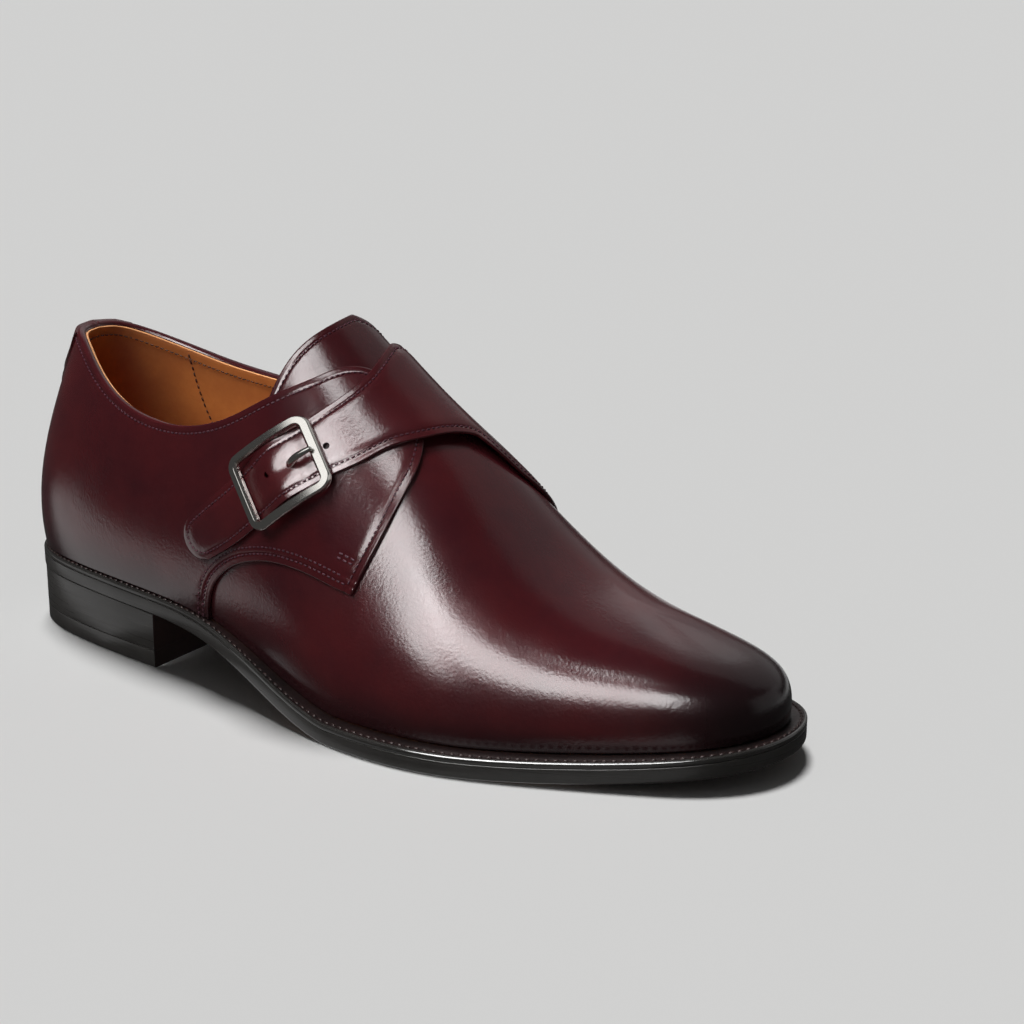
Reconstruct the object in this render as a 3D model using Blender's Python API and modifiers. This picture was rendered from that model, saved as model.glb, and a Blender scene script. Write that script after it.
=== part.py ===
"""A right shoe with one buckled monk strap, standing empty on its sole.

Every leather piece is a patch of one last: a form whose stations run along both edges of the
sole from the back of the heel (0) to the tip of the toe (1), and whose round coordinate goes
from the lateral feather line (0) over the ridge (1) to the medial feather line (2).
Shoe frame: +X to the toe, +Y medial, +Z up; the shoe's box stands centred on the origin.
"""
from collections import namedtuple

import bmesh
import bpy
import numpy as np
from mathutils import Matrix, Vector

# Driving sizes, in metres
LENGTH = 0.300
BALL_WIDTH = 0.109
INSTEP_HEIGHT = 0.124
HEEL_LIFT = 0.0195
TOE_SPRING = 0.0070
HEEL_LENGTH = 0.078

OUTSOLE_THICKNESS = 0.0048
WELT_THICKNESS = 0.0020
TOP_LIFT_THICKNESS = 0.0060
HEEL_LEDGE = 0.0006
INSOLE_THICKNESS = 0.0030
GAP = 0.0003

UPPER_WALL = 0.0018
QUARTER_WALL = 0.0015
TAB_WALL = 0.0008
LAYER_GAP = 0.0006

BUCKLE_LENGTH = 0.0300
BUCKLE_WIDTH = 0.0264
BUCKLE_BAR = 0.0029
BUCKLE_THICKNESS = 0.0024
BUCKLE_CORNER = 0.0045
CENTRE_BAR = 0.0018
PRONG = 0.0015
PRONG_REACH = 0.0134

# Makers' allowances
SEAM_HALF_GAP = 0.0006
FEATHER_SHARE = 0.008
TONGUE_GAP = 0.0020
TONGUE_SINK = 0.0004
TONGUE_SIDE_GAP = 0.014
TONGUE_SIDE_START = 0.40
TONGUE_SIDE_EASE = 0.02
FRONT_PULL = 10
TAIL_REACH = (-0.021, -0.057)
TAIL_COLUMNS = 4
TAB_STATION = 0.078
TAB_TAPER = 0.38
TAB_SHARE = 0.190
TAB_END_SHARE = 0.045
TAB_ROUNDNESS = 3
TAB_DROP = 0.004
PRONG_SLOT_LENGTH = 0.0050
PRONG_SLOT_PLACE = 0.0047
STRAP_RISE_SPREAD = 0.0075
STRAP_LIFT_START = 1.14
STRAP_LIFT_END = 0.97
BEVEL = 0.0006
BEVEL_DEPTH = 0.3

# Levels of the outer faces above the last, where the buckle sits
QUARTER_TOP = LAYER_GAP + QUARTER_WALL
CENTRE_BAR_LEVEL = QUARTER_TOP + LAYER_GAP + CENTRE_BAR / 2
STRAP_TOP = QUARTER_TOP + LAYER_GAP + QUARTER_WALL
FRAME_LEVEL = STRAP_TOP + LAYER_GAP
STRAP_RISE = CENTRE_BAR + LAYER_GAP
PRONG_REST = FRAME_LEVEL + BUCKLE_THICKNESS + GAP + PRONG / 2

# Fineness of the meshes
SOLE_COLUMNS = 51
SOLE_ROWS = 5
HEEL_COLUMNS = 15
HEEL_CROWDING = 1.3
UPPER_COLUMNS = 47
UPPER_ROWS = 12
UPPER_CROWDING = 0.85
TONGUE_COLUMNS = 21
TONGUE_ROWS = 7
QUARTER_COLUMNS = (14, 15)
QUARTER_ROWS = 12
STRAP_COLUMNS = (16, 8, 32)
STRAP_ROWS = 11
TAB_COLUMNS = 15
TAB_ROWS = 5
CORNER_STEPS = 5
BAR_STEPS = 4
ROD_SIDES = 10
END_CROWDING = 0.45
DENSE = 400
DRAPE_ROUNDS = 6
PLAN_STEP = 1e-4
NORMAL_STEP = 0.004
WELD = 0.000002
SHARP_ANGLE = 0.6

# Finishes: colour, roughness and how metallic
Finish = namedtuple("Finish", "colour roughness metallic")
UPPER_LEATHER = Finish((0.115, 0.018, 0.024), 0.2, 0.0)
SOLE_LEATHER = Finish((0.022, 0.018, 0.017), 0.35, 0.0)
LINING_LEATHER = Finish((0.46, 0.20, 0.07), 0.55, 0.0)
LIFT_RUBBER = Finish((0.012, 0.012, 0.012), 0.6, 0.0)
NICKEL = Finish((0.62, 0.60, 0.57), 0.28, 1.0)

# Plan of the sole: along as a share of LENGTH, the sides as shares of BALL_WIDTH
Outline = namedtuple("Outline", "along lateral medial")
OUTLINE = [
    Outline(0.000, 0.000, 0.000),
    Outline(0.012, 0.120, 0.124),
    Outline(0.047, 0.209, 0.216),
    Outline(0.108, 0.272, 0.280),
    Outline(0.183, 0.313, 0.306),
    Outline(0.262, 0.343, 0.305),
    Outline(0.345, 0.380, 0.300),
    Outline(0.433, 0.438, 0.318),
    Outline(0.525, 0.508, 0.362),
    Outline(0.615, 0.541, 0.425),
    Outline(0.690, 0.525, 0.466),
    Outline(0.763, 0.464, 0.465),
    Outline(0.836, 0.381, 0.425),
    Outline(0.900, 0.300, 0.366),
    Outline(0.953, 0.208, 0.290),
    Outline(0.987, 0.093, 0.188),
    Outline(1.000, -0.048, 0.048),
]

# Underside of the outsole: along as a share of LENGTH, heights as shares of the two lifts;
# where it would sink below the floor it is worn flat on it
Under = namedtuple("Under", "along heel toe")
UNDER = [
    Under(0.000, 1.05, 0.00),
    Under(0.262, 1.00, 0.00),
    Under(0.345, 0.87, 0.00),
    Under(0.433, 0.48, 0.00),
    Under(0.510, 0.13, 0.00),
    Under(0.560, -0.01, 0.00),
    Under(0.640, -0.02, 0.00),
    Under(0.730, 0.00, 0.02),
    Under(0.836, 0.00, 0.24),
    Under(0.920, 0.00, 0.58),
    Under(1.000, 0.00, 1.00),
]

# Ridge of the last: along and centre as shares of LENGTH and BALL_WIDTH, height of INSTEP_HEIGHT
Ridge = namedtuple("Ridge", "station along centre height")
RIDGE = [
    Ridge(0.00, 0.165, 0.000, 1.115),
    Ridge(0.10, 0.173, 0.000, 1.117),
    Ridge(0.20, 0.215, 0.002, 1.125),
    Ridge(0.30, 0.290, 0.006, 1.130),
    Ridge(0.38, 0.358, 0.012, 1.112),
    Ridge(0.44, 0.417, 0.020, 1.066),
    Ridge(0.50, 0.483, 0.028, 0.942),
    Ridge(0.56, 0.553, 0.036, 0.800),
    Ridge(0.62, 0.620, 0.044, 0.675),
    Ridge(0.68, 0.680, 0.050, 0.542),
    Ridge(0.74, 0.733, 0.055, 0.436),
    Ridge(0.80, 0.778, 0.058, 0.376),
    Ridge(0.86, 0.808, 0.058, 0.351),
    Ridge(0.93, 0.826, 0.058, 0.338),
    Ridge(1.00, 0.832, 0.058, 0.334),
]

# Cross-sections: inset of the feather line from the sole's edge in metres, then shares of the
# way out from the ridge to the feather line and of the way up from it to the ridge
Section = namedtuple(
    "Section", "station inset belly_out belly_up side_out side_up shoulder_out shoulder_up crown_out")
LATERAL = [
    Section(0.00, 0.0032, 1.05, 0.12, 0.97, 0.34, 0.68, 0.62, 0.32),
    Section(0.10, 0.0032, 1.06, 0.12, 1.01, 0.32, 0.76, 0.62, 0.36),
    Section(0.20, 0.0032, 1.06, 0.11, 1.05, 0.31, 0.86, 0.61, 0.44),
    Section(0.32, 0.0034, 1.05, 0.10, 1.04, 0.30, 0.90, 0.61, 0.48),
    Section(0.44, 0.0045, 1.03, 0.12, 1.00, 0.34, 0.84, 0.66, 0.42),
    Section(0.56, 0.0060, 1.02, 0.14, 0.96, 0.40, 0.70, 0.77, 0.32),
    Section(0.70, 0.0065, 1.02, 0.16, 0.98, 0.44, 0.70, 0.82, 0.30),
    Section(0.85, 0.0062, 1.01, 0.18, 1.00, 0.48, 0.76, 0.82, 0.34),
    Section(1.00, 0.0050, 1.01, 0.18, 1.00, 0.48, 0.76, 0.70, 0.35),
]
MEDIAL = [
    Section(0.00, 0.0032, 1.05, 0.12, 0.97, 0.34, 0.68, 0.62, 0.32),
    Section(0.10, 0.0032, 1.06, 0.12, 1.01, 0.32, 0.76, 0.62, 0.36),
    Section(0.20, 0.0032, 1.06, 0.11, 1.05, 0.31, 0.86, 0.61, 0.44),
    Section(0.32, 0.0034, 1.04, 0.10, 1.04, 0.30, 0.92, 0.61, 0.48),
    Section(0.44, 0.0040, 1.00, 0.12, 0.98, 0.34, 0.86, 0.66, 0.42),
    Section(0.56, 0.0050, 1.00, 0.14, 0.94, 0.40, 0.70, 0.76, 0.30),
    Section(0.70, 0.0060, 1.02, 0.16, 0.96, 0.42, 0.66, 0.76, 0.26),
    Section(0.85, 0.0062, 1.01, 0.18, 0.99, 0.44, 0.72, 0.72, 0.29),
    Section(1.00, 0.0050, 1.01, 0.18, 1.00, 0.48, 0.76, 0.70, 0.35),
]

# Top edge of the quarters from the heel to the tongue: shares of the way from feather to ridge
Collar = namedtuple("Collar", "station lateral medial")
COLLAR = [
    Collar(0.00, 0.716, 0.716),
    Collar(0.05, 0.712, 0.708),
    Collar(0.11, 0.696, 0.682),
    Collar(0.18, 0.628, 0.642),
    Collar(0.23, 0.582, 0.616),
    Collar(0.28, 0.564, 0.602),
    Collar(0.33, 0.576, 0.598),
    Collar(0.38, 0.622, 0.622),
    Collar(0.422, 0.684, 0.684),
]

# Prong: shares of the way along its reach and up from the sunk bar to the frame, and its thickness
Bend = namedtuple("Bend", "along up size")
PRONG_LINE = [
    Bend(0.00, 0.00, 0.90),
    Bend(0.10, 0.02, 1.00),
    Bend(0.27, 0.32, 1.00),
    Bend(0.44, 0.75, 1.00),
    Bend(0.63, 0.98, 0.95),
    Bend(1.00, 1.00, 0.70),
]

# Style lines: points by station and by the way round, from 0 over the ridge (1) to 2
Style = namedtuple("Style", "station around")
STATION_SPAN = 0.365
AROUND_SPAN = 0.110
BUCKLE_SEAT = Style(0.4605, 0.561)
BUCKLE_AIM = Style(0.4955, 0.659)
TONGUE_EDGE = [
    Style(0.426, 0.700),
    Style(0.434, 0.750),
    Style(0.447, 0.820),
    Style(0.463, 0.900),
    Style(0.475, 1.000),
    Style(0.475, 1.090),
    Style(0.466, 1.170),
    Style(0.446, 1.245),
    Style(0.426, 1.300),
]
THROAT = [
    Style(0.470, 0.700),
    Style(0.520, 0.785),
    Style(0.560, 0.890),
    Style(0.580, 1.000),
    Style(0.560, 1.110),
    Style(0.520, 1.215),
    Style(0.470, 1.300),
]
LATERAL_FRONT = [
    Style(0.556, 0.372),
    Style(0.574, 0.540),
    Style(0.584, 0.700),
    Style(0.584, 0.830),
    Style(0.566, 0.940),
]
LATERAL_TOP = [
    Style(0.450, 0.736),
    Style(0.474, 0.796),
    Style(0.492, 0.856),
    Style(0.510, 0.904),
    Style(0.535, 0.935),
    Style(0.566, 0.940),
]
LATERAL_SEAM = [
    Style(0.356, 0.000),
    Style(0.358, 0.060),
    Style(0.364, 0.120),
    Style(0.378, 0.184),
    Style(0.402, 0.248),
    Style(0.426, 0.288),
    Style(0.464, 0.332),
    Style(0.510, 0.362),
    Style(0.556, 0.372),
]
MEDIAL_SEAM = [
    Style(0.396, 2.000),
    Style(0.398, 1.940),
    Style(0.404, 1.880),
    Style(0.418, 1.816),
    Style(0.442, 1.752),
    Style(0.470, 1.706),
    Style(0.510, 1.664),
    Style(0.560, 1.636),
    Style(0.615, 1.620),
]
STRAP_FRONT = [
    Style(0.615, 1.620),
    Style(0.633, 1.440),
    Style(0.643, 1.270),
    Style(0.641, 1.150),
    Style(0.628, 1.070),
    Style(0.609, 1.010),
    Style(0.592, 0.940),
    Style(0.578, 0.868),
    Style(0.560, 0.795),
    Style(0.541, 0.715),
    Style(0.515, 0.633),
    Style(0.480, 0.525),
    Style(0.439, 0.407),
    Style(0.405, 0.310),
    Style(0.376, 0.240),
]
STRAP_BACK = [
    Style(0.422, 1.316),
    Style(0.452, 1.245),
    Style(0.480, 1.180),
    Style(0.500, 1.108),
    Style(0.512, 1.000),
    Style(0.514, 0.884),
    Style(0.496, 0.768),
    Style(0.474, 0.690),
    Style(0.440, 0.596),
    Style(0.396, 0.478),
    Style(0.366, 0.400),
    Style(0.346, 0.344),
]


def spline(knots, values, flat_ends):
    """Cubic spline through values at knots; its slope is nought at the ends if flat_ends."""
    knots = np.asarray(knots, float)
    values = np.asarray(values, float)
    count = len(knots)
    steps = np.diff(knots)
    slopes = np.diff(values, axis=0) / steps.reshape((-1,) + (1,) * (values.ndim - 1))
    matrix = np.zeros((count, count))
    right = np.zeros(values.shape)
    for i in range(1, count - 1):
        matrix[i, i - 1:i + 2] = steps[i - 1], 2 * (steps[i - 1] + steps[i]), steps[i]
        right[i] = 6 * (slopes[i] - slopes[i - 1])
    matrix[0, 0] = matrix[-1, -1] = 1
    if flat_ends:
        matrix[0, :2] = 2 * steps[0], steps[0]
        matrix[-1, -2:] = steps[-1], 2 * steps[-1]
        right[0] = 6 * slopes[0]
        right[-1] = -6 * slopes[-1]
    bends = np.linalg.solve(matrix, right)

    def at(where):
        where = np.asarray(where, float)
        i = np.clip(np.searchsorted(knots, where) - 1, 0, count - 2)
        step = steps[i]
        before = (knots[i + 1] - where) / step
        after = 1 - before
        if values.ndim > 1:
            step, before, after = step[..., None], before[..., None], after[..., None]
        return (before * values[i] + after * values[i + 1]
                + ((before**3 - before) * bends[i] + (after**3 - after) * bends[i + 1]) * step**2 / 6)
    return at


def columns(table, *names):
    """The named columns of a table, as an array with a row for each of its rows."""
    return np.array([[getattr(row, name) for name in names] for row in table])


def edge_stations():
    """Station of each OUTLINE row: its share of the way round the sole's edge."""
    lateral = columns(OUTLINE, "along", "lateral") * (LENGTH, BALL_WIDTH)
    medial = columns(OUTLINE, "along", "medial") * (LENGTH, BALL_WIDTH)
    steps = sum(np.linalg.norm(np.diff(edge, axis=0), axis=1) for edge in (lateral, medial))
    reached = np.concatenate([[0], np.cumsum(steps)])
    return reached / reached[-1]


EDGE_STATIONS = edge_stations()
EDGE_ALONG = spline(EDGE_STATIONS, columns(OUTLINE, "along")[:, 0] * LENGTH, True)
EDGE_OUT = spline(EDGE_STATIONS, columns(OUTLINE, "lateral", "medial") * (-BALL_WIDTH, BALL_WIDTH), False)
UNDER_CURVE = spline(columns(UNDER, "along")[:, 0] * LENGTH,
                     columns(UNDER, "heel", "toe") @ (HEEL_LIFT, TOE_SPRING), False)
RIDGE_LINE = spline(columns(RIDGE, "station")[:, 0],
                    columns(RIDGE, "along", "centre", "height") * (LENGTH, BALL_WIDTH, INSTEP_HEIGHT), True)
SECTION_SHAPE = [spline(columns(table, "station")[:, 0], columns(table, *Section._fields[1:]), True)
                 for table in (LATERAL, MEDIAL)]
WELT_TOP = OUTSOLE_THICKNESS + GAP + WELT_THICKNESS
FEATHER_LIFT = WELT_TOP + GAP


def underside(along):
    """Height of the outsole's underside above the floor."""
    return np.maximum(UNDER_CURVE(along), 0)


def sole_edge(station, medial, inset=0.0):
    """Plan point of the sole's edge, moved inward by inset."""
    station, medial, inset = np.broadcast_arrays(*(np.asarray(a, float) for a in (station, medial, inset)))

    def point(where):
        out = EDGE_OUT(where)
        return np.stack([EDGE_ALONG(where), np.where(medial > 0, out[..., 1], out[..., 0])], -1)

    step = PLAN_STEP
    along = point(np.clip(station + step, 0, 1)) - point(np.clip(station - step, 0, 1))
    along[..., 0] = np.where((station < step) | (station > 1 - step), 0, along[..., 0])
    along /= np.linalg.norm(along, axis=-1, keepdims=True)
    inward = np.stack([-along[..., 1], along[..., 0]], -1) * np.where(medial > 0, -1, 1)[..., None]
    return point(station) + inward * inset[..., None]


def b_spline(v, count):
    """Weights of count control points in a clamped cubic B-spline at v, from 0 to 1."""
    v = np.clip(np.asarray(v, float), 0, 1 - 1e-9)
    knots = np.concatenate([[0] * 3, np.linspace(0, 1, count - 2), [1] * 3])
    weights = [((v >= a) & (v < b)).astype(float) for a, b in zip(knots[:-1], knots[1:])]
    for degree in (1, 2, 3):
        raised = []
        for i in range(len(weights) - 1):
            total = np.zeros_like(v)
            if knots[i + degree] > knots[i]:
                total = total + (v - knots[i]) / (knots[i + degree] - knots[i]) * weights[i]
            if knots[i + degree + 1] > knots[i + 1]:
                span = knots[i + degree + 1] - knots[i + 1]
                total = total + (knots[i + degree + 1] - v) / span * weights[i + 1]
            raised.append(total)
        weights = raised
    return np.stack(weights[:count], -1)


def last_point(station, around):
    """Point of the last at a station and at around: 0 lateral feather, 1 ridge, 2 medial feather."""
    station, around = np.broadcast_arrays(np.asarray(station, float), np.asarray(around, float))
    medial = around > 1
    shape = np.where(medial[..., None], SECTION_SHAPE[1](station), SECTION_SHAPE[0](station))
    inset, belly_out, belly_up, side_out, side_up, shoulder_out, shoulder_up, crown_out = np.moveaxis(shape, -1, 0)
    ridge = RIDGE_LINE(station)
    feather = sole_edge(station, medial, inset)
    feather = np.concatenate([feather, (underside(feather[..., 0]) + FEATHER_LIFT)[..., None]], -1)
    span = feather - ridge

    def control(out, up):
        level = feather[..., 2] - up * span[..., 2]
        return np.concatenate([ridge[..., :2] + span[..., :2] * out[..., None], level[..., None]], -1)

    near = np.clip(station, 0.02, 0.96)
    run = RIDGE_LINE(near + 0.01) - RIDGE_LINE(near - 0.01)
    crown = control(crown_out, np.ones_like(crown_out))
    crown[..., 2] += run[..., 2] / run[..., 0] * (crown[..., 0] - ridge[..., 0])
    controls = np.stack([feather, control(belly_out, belly_up), control(side_out, side_up),
                         control(shoulder_out, shoulder_up), crown, ridge], -2)
    weights = b_spline(np.where(medial, 2 - around, around), 6)
    return (weights[..., None] * controls).sum(-2)


def last_normal(station, around):
    """Outward unit normal of the last."""
    station, around = np.broadcast_arrays(np.asarray(station, float), np.asarray(around, float))
    step = NORMAL_STEP
    station = np.clip(station, step, 0.99 - step)
    low = np.where(around > 1, np.maximum(around - step, 1 + 1e-7), np.maximum(around - step, 0))
    high = np.where(around > 1, np.minimum(around + step, 2), np.minimum(around + step, 1))
    along = last_point(station + step, around) - last_point(station - step, around)
    across = last_point(station, high) - last_point(station, low)
    normal = np.cross(along, across)
    return normal / np.linalg.norm(normal, axis=-1, keepdims=True)


def layer_point(station, around, level):
    """Point at a level above the last's surface."""
    return last_point(station, around) + last_normal(station, around) * np.asarray(level)[..., None]


def style_run(rows, count):
    """Points, count of them and evenly spaced, on the smooth line through style rows."""
    rows = np.array(rows, float)
    steps = np.linalg.norm(np.diff(rows, axis=0) * (STATION_SPAN, AROUND_SPAN), axis=1)
    reached = np.concatenate([[0], np.cumsum(steps)])
    line = spline(reached, rows, False)
    return line(np.linspace(0, reached[-1], count))


def collar_rows(side):
    """Collar line of one side, lateral or medial, as style rows from the back seam to the tongue."""
    rows = []
    for row in COLLAR:
        share = getattr(row, side)
        around = share if side == "lateral" else 2 - share
        rows.append((max(row.station, SEAM_HALF_GAP), around))
    return rows


def throat_share(station, side):
    """How far up a side the vamp and its backing reach: up the collar, then up the throat."""
    lateral = side == "lateral"
    throat = style_run(THROAT, 2 * DENSE + 1)
    throat = throat[:DENSE + 1] if lateral else throat[:DENSE - 1:-1]
    line = np.concatenate([style_run(collar_rows(side), DENSE), throat])
    share = line[:, 1] if lateral else 2 - line[:, 1]
    beside = smooth_step((line[:, 0] - TONGUE_SIDE_START) / TONGUE_SIDE_EASE)
    beside[line[:, 0] >= throat[-1, 0]] = 0
    return np.interp(station, line[:, 0], share - TONGUE_SIDE_GAP * beside)


def ruled(lower, upper, rows):
    """Grid of style points between two edges of as many points."""
    share = np.linspace(0, 1, rows)[None, :, None]
    return lower[:, None] * (1 - share) + upper[:, None] * share


def lateral_quarter_grid(columns_back, columns_seam, rows):
    """Style points of the lateral quarter: feather and seam below, collar and top edge above."""
    feather = style_run([(SEAM_HALF_GAP, FEATHER_SHARE), (LATERAL_SEAM[0][0], FEATHER_SHARE)], columns_back)
    seam = style_run(LATERAL_SEAM, columns_seam + 1)
    lower = np.concatenate([feather, seam[1:]])
    upper = style_run(collar_rows("lateral") + LATERAL_TOP, len(lower))
    grid = ruled(lower, upper, rows)
    front = style_run(LATERAL_FRONT, rows)
    pull = np.linspace(0, 1, len(lower))[:, None, None] ** FRONT_PULL
    return grid + pull * (front - grid[-1])


def medial_quarter_grid(columns_back, columns_seam, columns_strap, rows):
    """Style points of the medial quarter and its strap, from the back seam to the strap's tail."""
    feather = style_run([(SEAM_HALF_GAP, 2 - FEATHER_SHARE), (MEDIAL_SEAM[0][0], 2 - FEATHER_SHARE)], columns_back)
    seam = style_run(MEDIAL_SEAM, columns_seam + 1)
    front = style_run(STRAP_FRONT, columns_strap + 1)
    lower = np.concatenate([feather, seam[1:], front[1:]])
    upper = style_run(collar_rows("medial") + STRAP_BACK[1:], len(lower))
    grid = ruled(lower, upper, rows)
    across = np.linspace(-1, 1, rows)
    tail = np.array(TAIL_REACH) * np.sqrt(1 - across**2)[:, None]
    pull = np.clip((np.arange(len(lower)) - len(lower) + TAIL_COLUMNS + 1) / TAIL_COLUMNS, 0, 1)
    return grid + pull[:, None, None] ** 2 * tail


def smooth_step(value):
    """Ease from 0 to 1 as value goes from 0 to 1."""
    value = np.clip(value, 0, 1)
    return value * value * (3 - 2 * value)


def buckle_axes():
    """Centre of the buckle's seat on the last, and its directions along, across and out of the strap."""
    centre = last_point(*BUCKLE_SEAT)
    out = last_normal(*BUCKLE_SEAT)
    along = last_point(*BUCKLE_AIM) - centre
    along -= out * (along @ out)
    along /= np.linalg.norm(along)
    return centre, along, np.cross(out, along), out


def drape(along, across, level):
    """Points over the buckle's seat: plan places along and across the strap, level above the last."""
    centre, *axes = buckle_axes()
    plan = np.stack(axes[:2])
    along, across, level = np.broadcast_arrays(*(np.asarray(a, float) for a in (along, across, level)))
    target = np.stack([along, across], -1)
    where = np.broadcast_to(np.array(BUCKLE_SEAT), target.shape).copy()
    step = PLAN_STEP
    for _ in range(DRAPE_ROUNDS):
        here = last_point(where[..., 0], where[..., 1])
        by_station = (last_point(where[..., 0] + step, where[..., 1]) - here) @ plan.T / step
        by_around = (last_point(where[..., 0], where[..., 1] + step) - here) @ plan.T / step
        miss = target - (here - centre) @ plan.T
        slopes = np.stack([by_station, by_around], -1)
        where += np.linalg.solve(slopes, miss[..., None])[..., 0]
    return layer_point(where[..., 0], where[..., 1], level)


def strap_level(station, around):
    """Level of the outer face of the medial quarter and strap, over what lies beneath."""
    centre, along = buckle_axes()[:2]
    place = last_point(station, around) - centre
    lift = smooth_step((STRAP_LIFT_START - around) / (STRAP_LIFT_START - STRAP_LIFT_END))
    rise = STRAP_RISE * np.exp(-(place @ along / STRAP_RISE_SPREAD) ** 2) * (around < 1)
    return QUARTER_TOP + lift * (QUARTER_WALL + LAYER_GAP) + rise


# Pieces
def clear_scene():
    """Removes whatever the file opened with."""
    for thing in list(bpy.data.objects):
        bpy.data.objects.remove(thing)


def make_material(name, finish):
    """Principled material."""
    material = bpy.data.materials.new(name)
    material.use_nodes = True
    shader = material.node_tree.nodes["Principled BSDF"]
    shader.inputs["Base Color"].default_value = (*finish.colour, 1)
    shader.inputs["Roughness"].default_value = finish.roughness
    shader.inputs["Metallic"].default_value = finish.metallic
    material.diffuse_color = (*finish.colour, 1)
    return material


def add_mesh(name, build, finish, collection):
    """Object named name, with a material of its own, whose mesh is drawn by build on an empty bmesh."""
    bm = bmesh.new()
    build(bm)
    bmesh.ops.remove_doubles(bm, verts=bm.verts, dist=WELD)
    mesh = bpy.data.meshes.new(name)
    bm.to_mesh(mesh)
    bm.free()
    mesh.materials.append(make_material(name + "_finish", finish))
    mesh.shade_smooth()
    mesh.set_sharp_from_angle(angle=SHARP_ANGLE)
    thing = bpy.data.objects.new(name, mesh)
    collection.objects.link(thing)
    return thing


def add_grid(bm, points):
    """Faces of a grid of points, facing out where station and around grow along it."""
    verts = [[bm.verts.new(point) for point in row] for row in points]
    for near, far in zip(verts[:-1], verts[1:]):
        for i in range(len(near) - 1):
            bm.faces.new((near[i], far[i], far[i + 1], near[i + 1]))


def add_loft(bm, rings, closed):
    """Skin over closed rings of points, joined end to end if closed."""
    verts = [[bm.verts.new(point) for point in ring] for ring in rings]
    pairs = list(zip(verts[:-1], verts[1:]))
    if closed:
        pairs.append((verts[-1], verts[0]))
    for near, far in pairs:
        for i in range(len(near)):
            after = (i + 1) % len(near)
            bm.faces.new((near[i], near[after], far[after], far[i]))
    if not closed:
        bm.faces.new(verts[0][::-1])
        bm.faces.new(verts[-1])


def add_wall(thing, wall):
    """Gives an outer surface its wall, inward."""
    solid = thing.modifiers.new("wall", "SOLIDIFY")
    solid.thickness = wall
    solid.offset = -1
    solid.use_even_offset = True
    return thing


def face_out(bm):
    """Turns the faces of a closed body out."""
    bmesh.ops.remove_doubles(bm, verts=bm.verts, dist=WELD)
    bmesh.ops.recalc_face_normals(bm, faces=bm.faces)


def plate_rings(stations, inset, low, high):
    """Rings of a plate across the sole, between two heights given along it."""
    lateral = sole_edge(stations, 0, inset)
    medial = sole_edge(stations, 1, inset)
    share = np.linspace(0, 1, SOLE_ROWS)[None, :, None]
    plan = lateral[:, None] * (1 - share) + medial[:, None] * share
    bottom = np.concatenate([plan, low(plan[..., :1])], -1)
    top = np.concatenate([plan, high(plan[..., :1])], -1)
    return np.concatenate([bottom, top[:, ::-1]], 1)


def build_skin(name, rings, closed, finish, collection):
    """Closed body over rings of points."""
    def build(bm):
        add_loft(bm, rings, closed)
        face_out(bm)
    return add_mesh(name, build, finish, collection)


def feather_inset(stations, medial):
    """Inset of the feather line from the sole's edge."""
    return SECTION_SHAPE[medial](stations)[..., 0]


def even_stations(count):
    """Stations closer together at the heel and the toe."""
    share = np.linspace(0, 1, count)
    return share - np.sin(2 * np.pi * share) * END_CROWDING / (2 * np.pi)


def build_outsole(collection):
    """Outsole with its arch and toe spring, flat where it stands."""
    rings = plate_rings(even_stations(SOLE_COLUMNS), 0.0, underside, lambda x: underside(x) + OUTSOLE_THICKNESS)
    return build_skin("outsole", rings, False, SOLE_LEATHER, collection)


def build_insole(collection):
    """Insole on the outsole, inside the upper's wall."""
    stations = even_stations(SOLE_COLUMNS)
    inset = np.maximum(feather_inset(stations, 0), feather_inset(stations, 1)) + UPPER_WALL + 2 * GAP
    low = OUTSOLE_THICKNESS + GAP
    rings = plate_rings(stations, inset, lambda x: underside(x) + low,
                        lambda x: underside(x) + low + INSOLE_THICKNESS)
    return build_skin("insole", rings, False, LINING_LEATHER, collection)


def build_heel(collection):
    """Stacked heel and its top lift, with the breast square across the shoe."""
    dense = np.linspace(0, 1, DENSE)
    breast = np.interp(HEEL_LENGTH, EDGE_ALONG(dense), dense)
    stations = breast * np.linspace(0, 1, HEEL_COLUMNS) ** HEEL_CROWDING
    stack = plate_rings(stations, HEEL_LEDGE, lambda x: x * 0 + TOP_LIFT_THICKNESS + GAP,
                        lambda x: underside(x) - GAP)
    lift = plate_rings(stations, HEEL_LEDGE, lambda x: x * 0, lambda x: x * 0 + TOP_LIFT_THICKNESS)
    return (build_skin("heel_stack", stack, False, SOLE_LEATHER, collection),
            build_skin("top_lift", lift, False, LIFT_RUBBER, collection))


def build_welt(collection):
    """Welt right round the shoe, under the edge of the upper."""
    stations = even_stations(SOLE_COLUMNS)
    rings = []
    for medial, run in ((0, stations[:-1]), (1, stations[:0:-1])):
        outer = sole_edge(run, medial)
        inner = sole_edge(run, medial, feather_inset(run, medial) + UPPER_WALL)
        corners = [(outer, OUTSOLE_THICKNESS + GAP), (inner, OUTSOLE_THICKNESS + GAP),
                   (inner, WELT_TOP), (outer, WELT_TOP)]
        rings.append(np.stack([np.concatenate([plan, underside(plan[:, :1]) + lift], -1)
                               for plan, lift in corners], 1))
    return build_skin("welt", np.concatenate(rings), True, SOLE_LEATHER, collection)


def build_upper(collection):
    """Vamp and the backing of both quarters: one wall, open at the throat, collar and underneath."""
    stations = even_stations(UPPER_COLUMNS)[:, None]
    share = np.linspace(0, 1, UPPER_ROWS) ** UPPER_CROWDING
    lateral = throat_share(stations, "lateral") * share
    medial = throat_share(stations, "medial") * share[::-1]

    def build(bm):
        add_grid(bm, last_point(stations, lateral))
        add_grid(bm, last_point(stations, 2 - medial))
    return add_wall(add_mesh("upper", build, UPPER_LEATHER, collection), UPPER_WALL)


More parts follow.
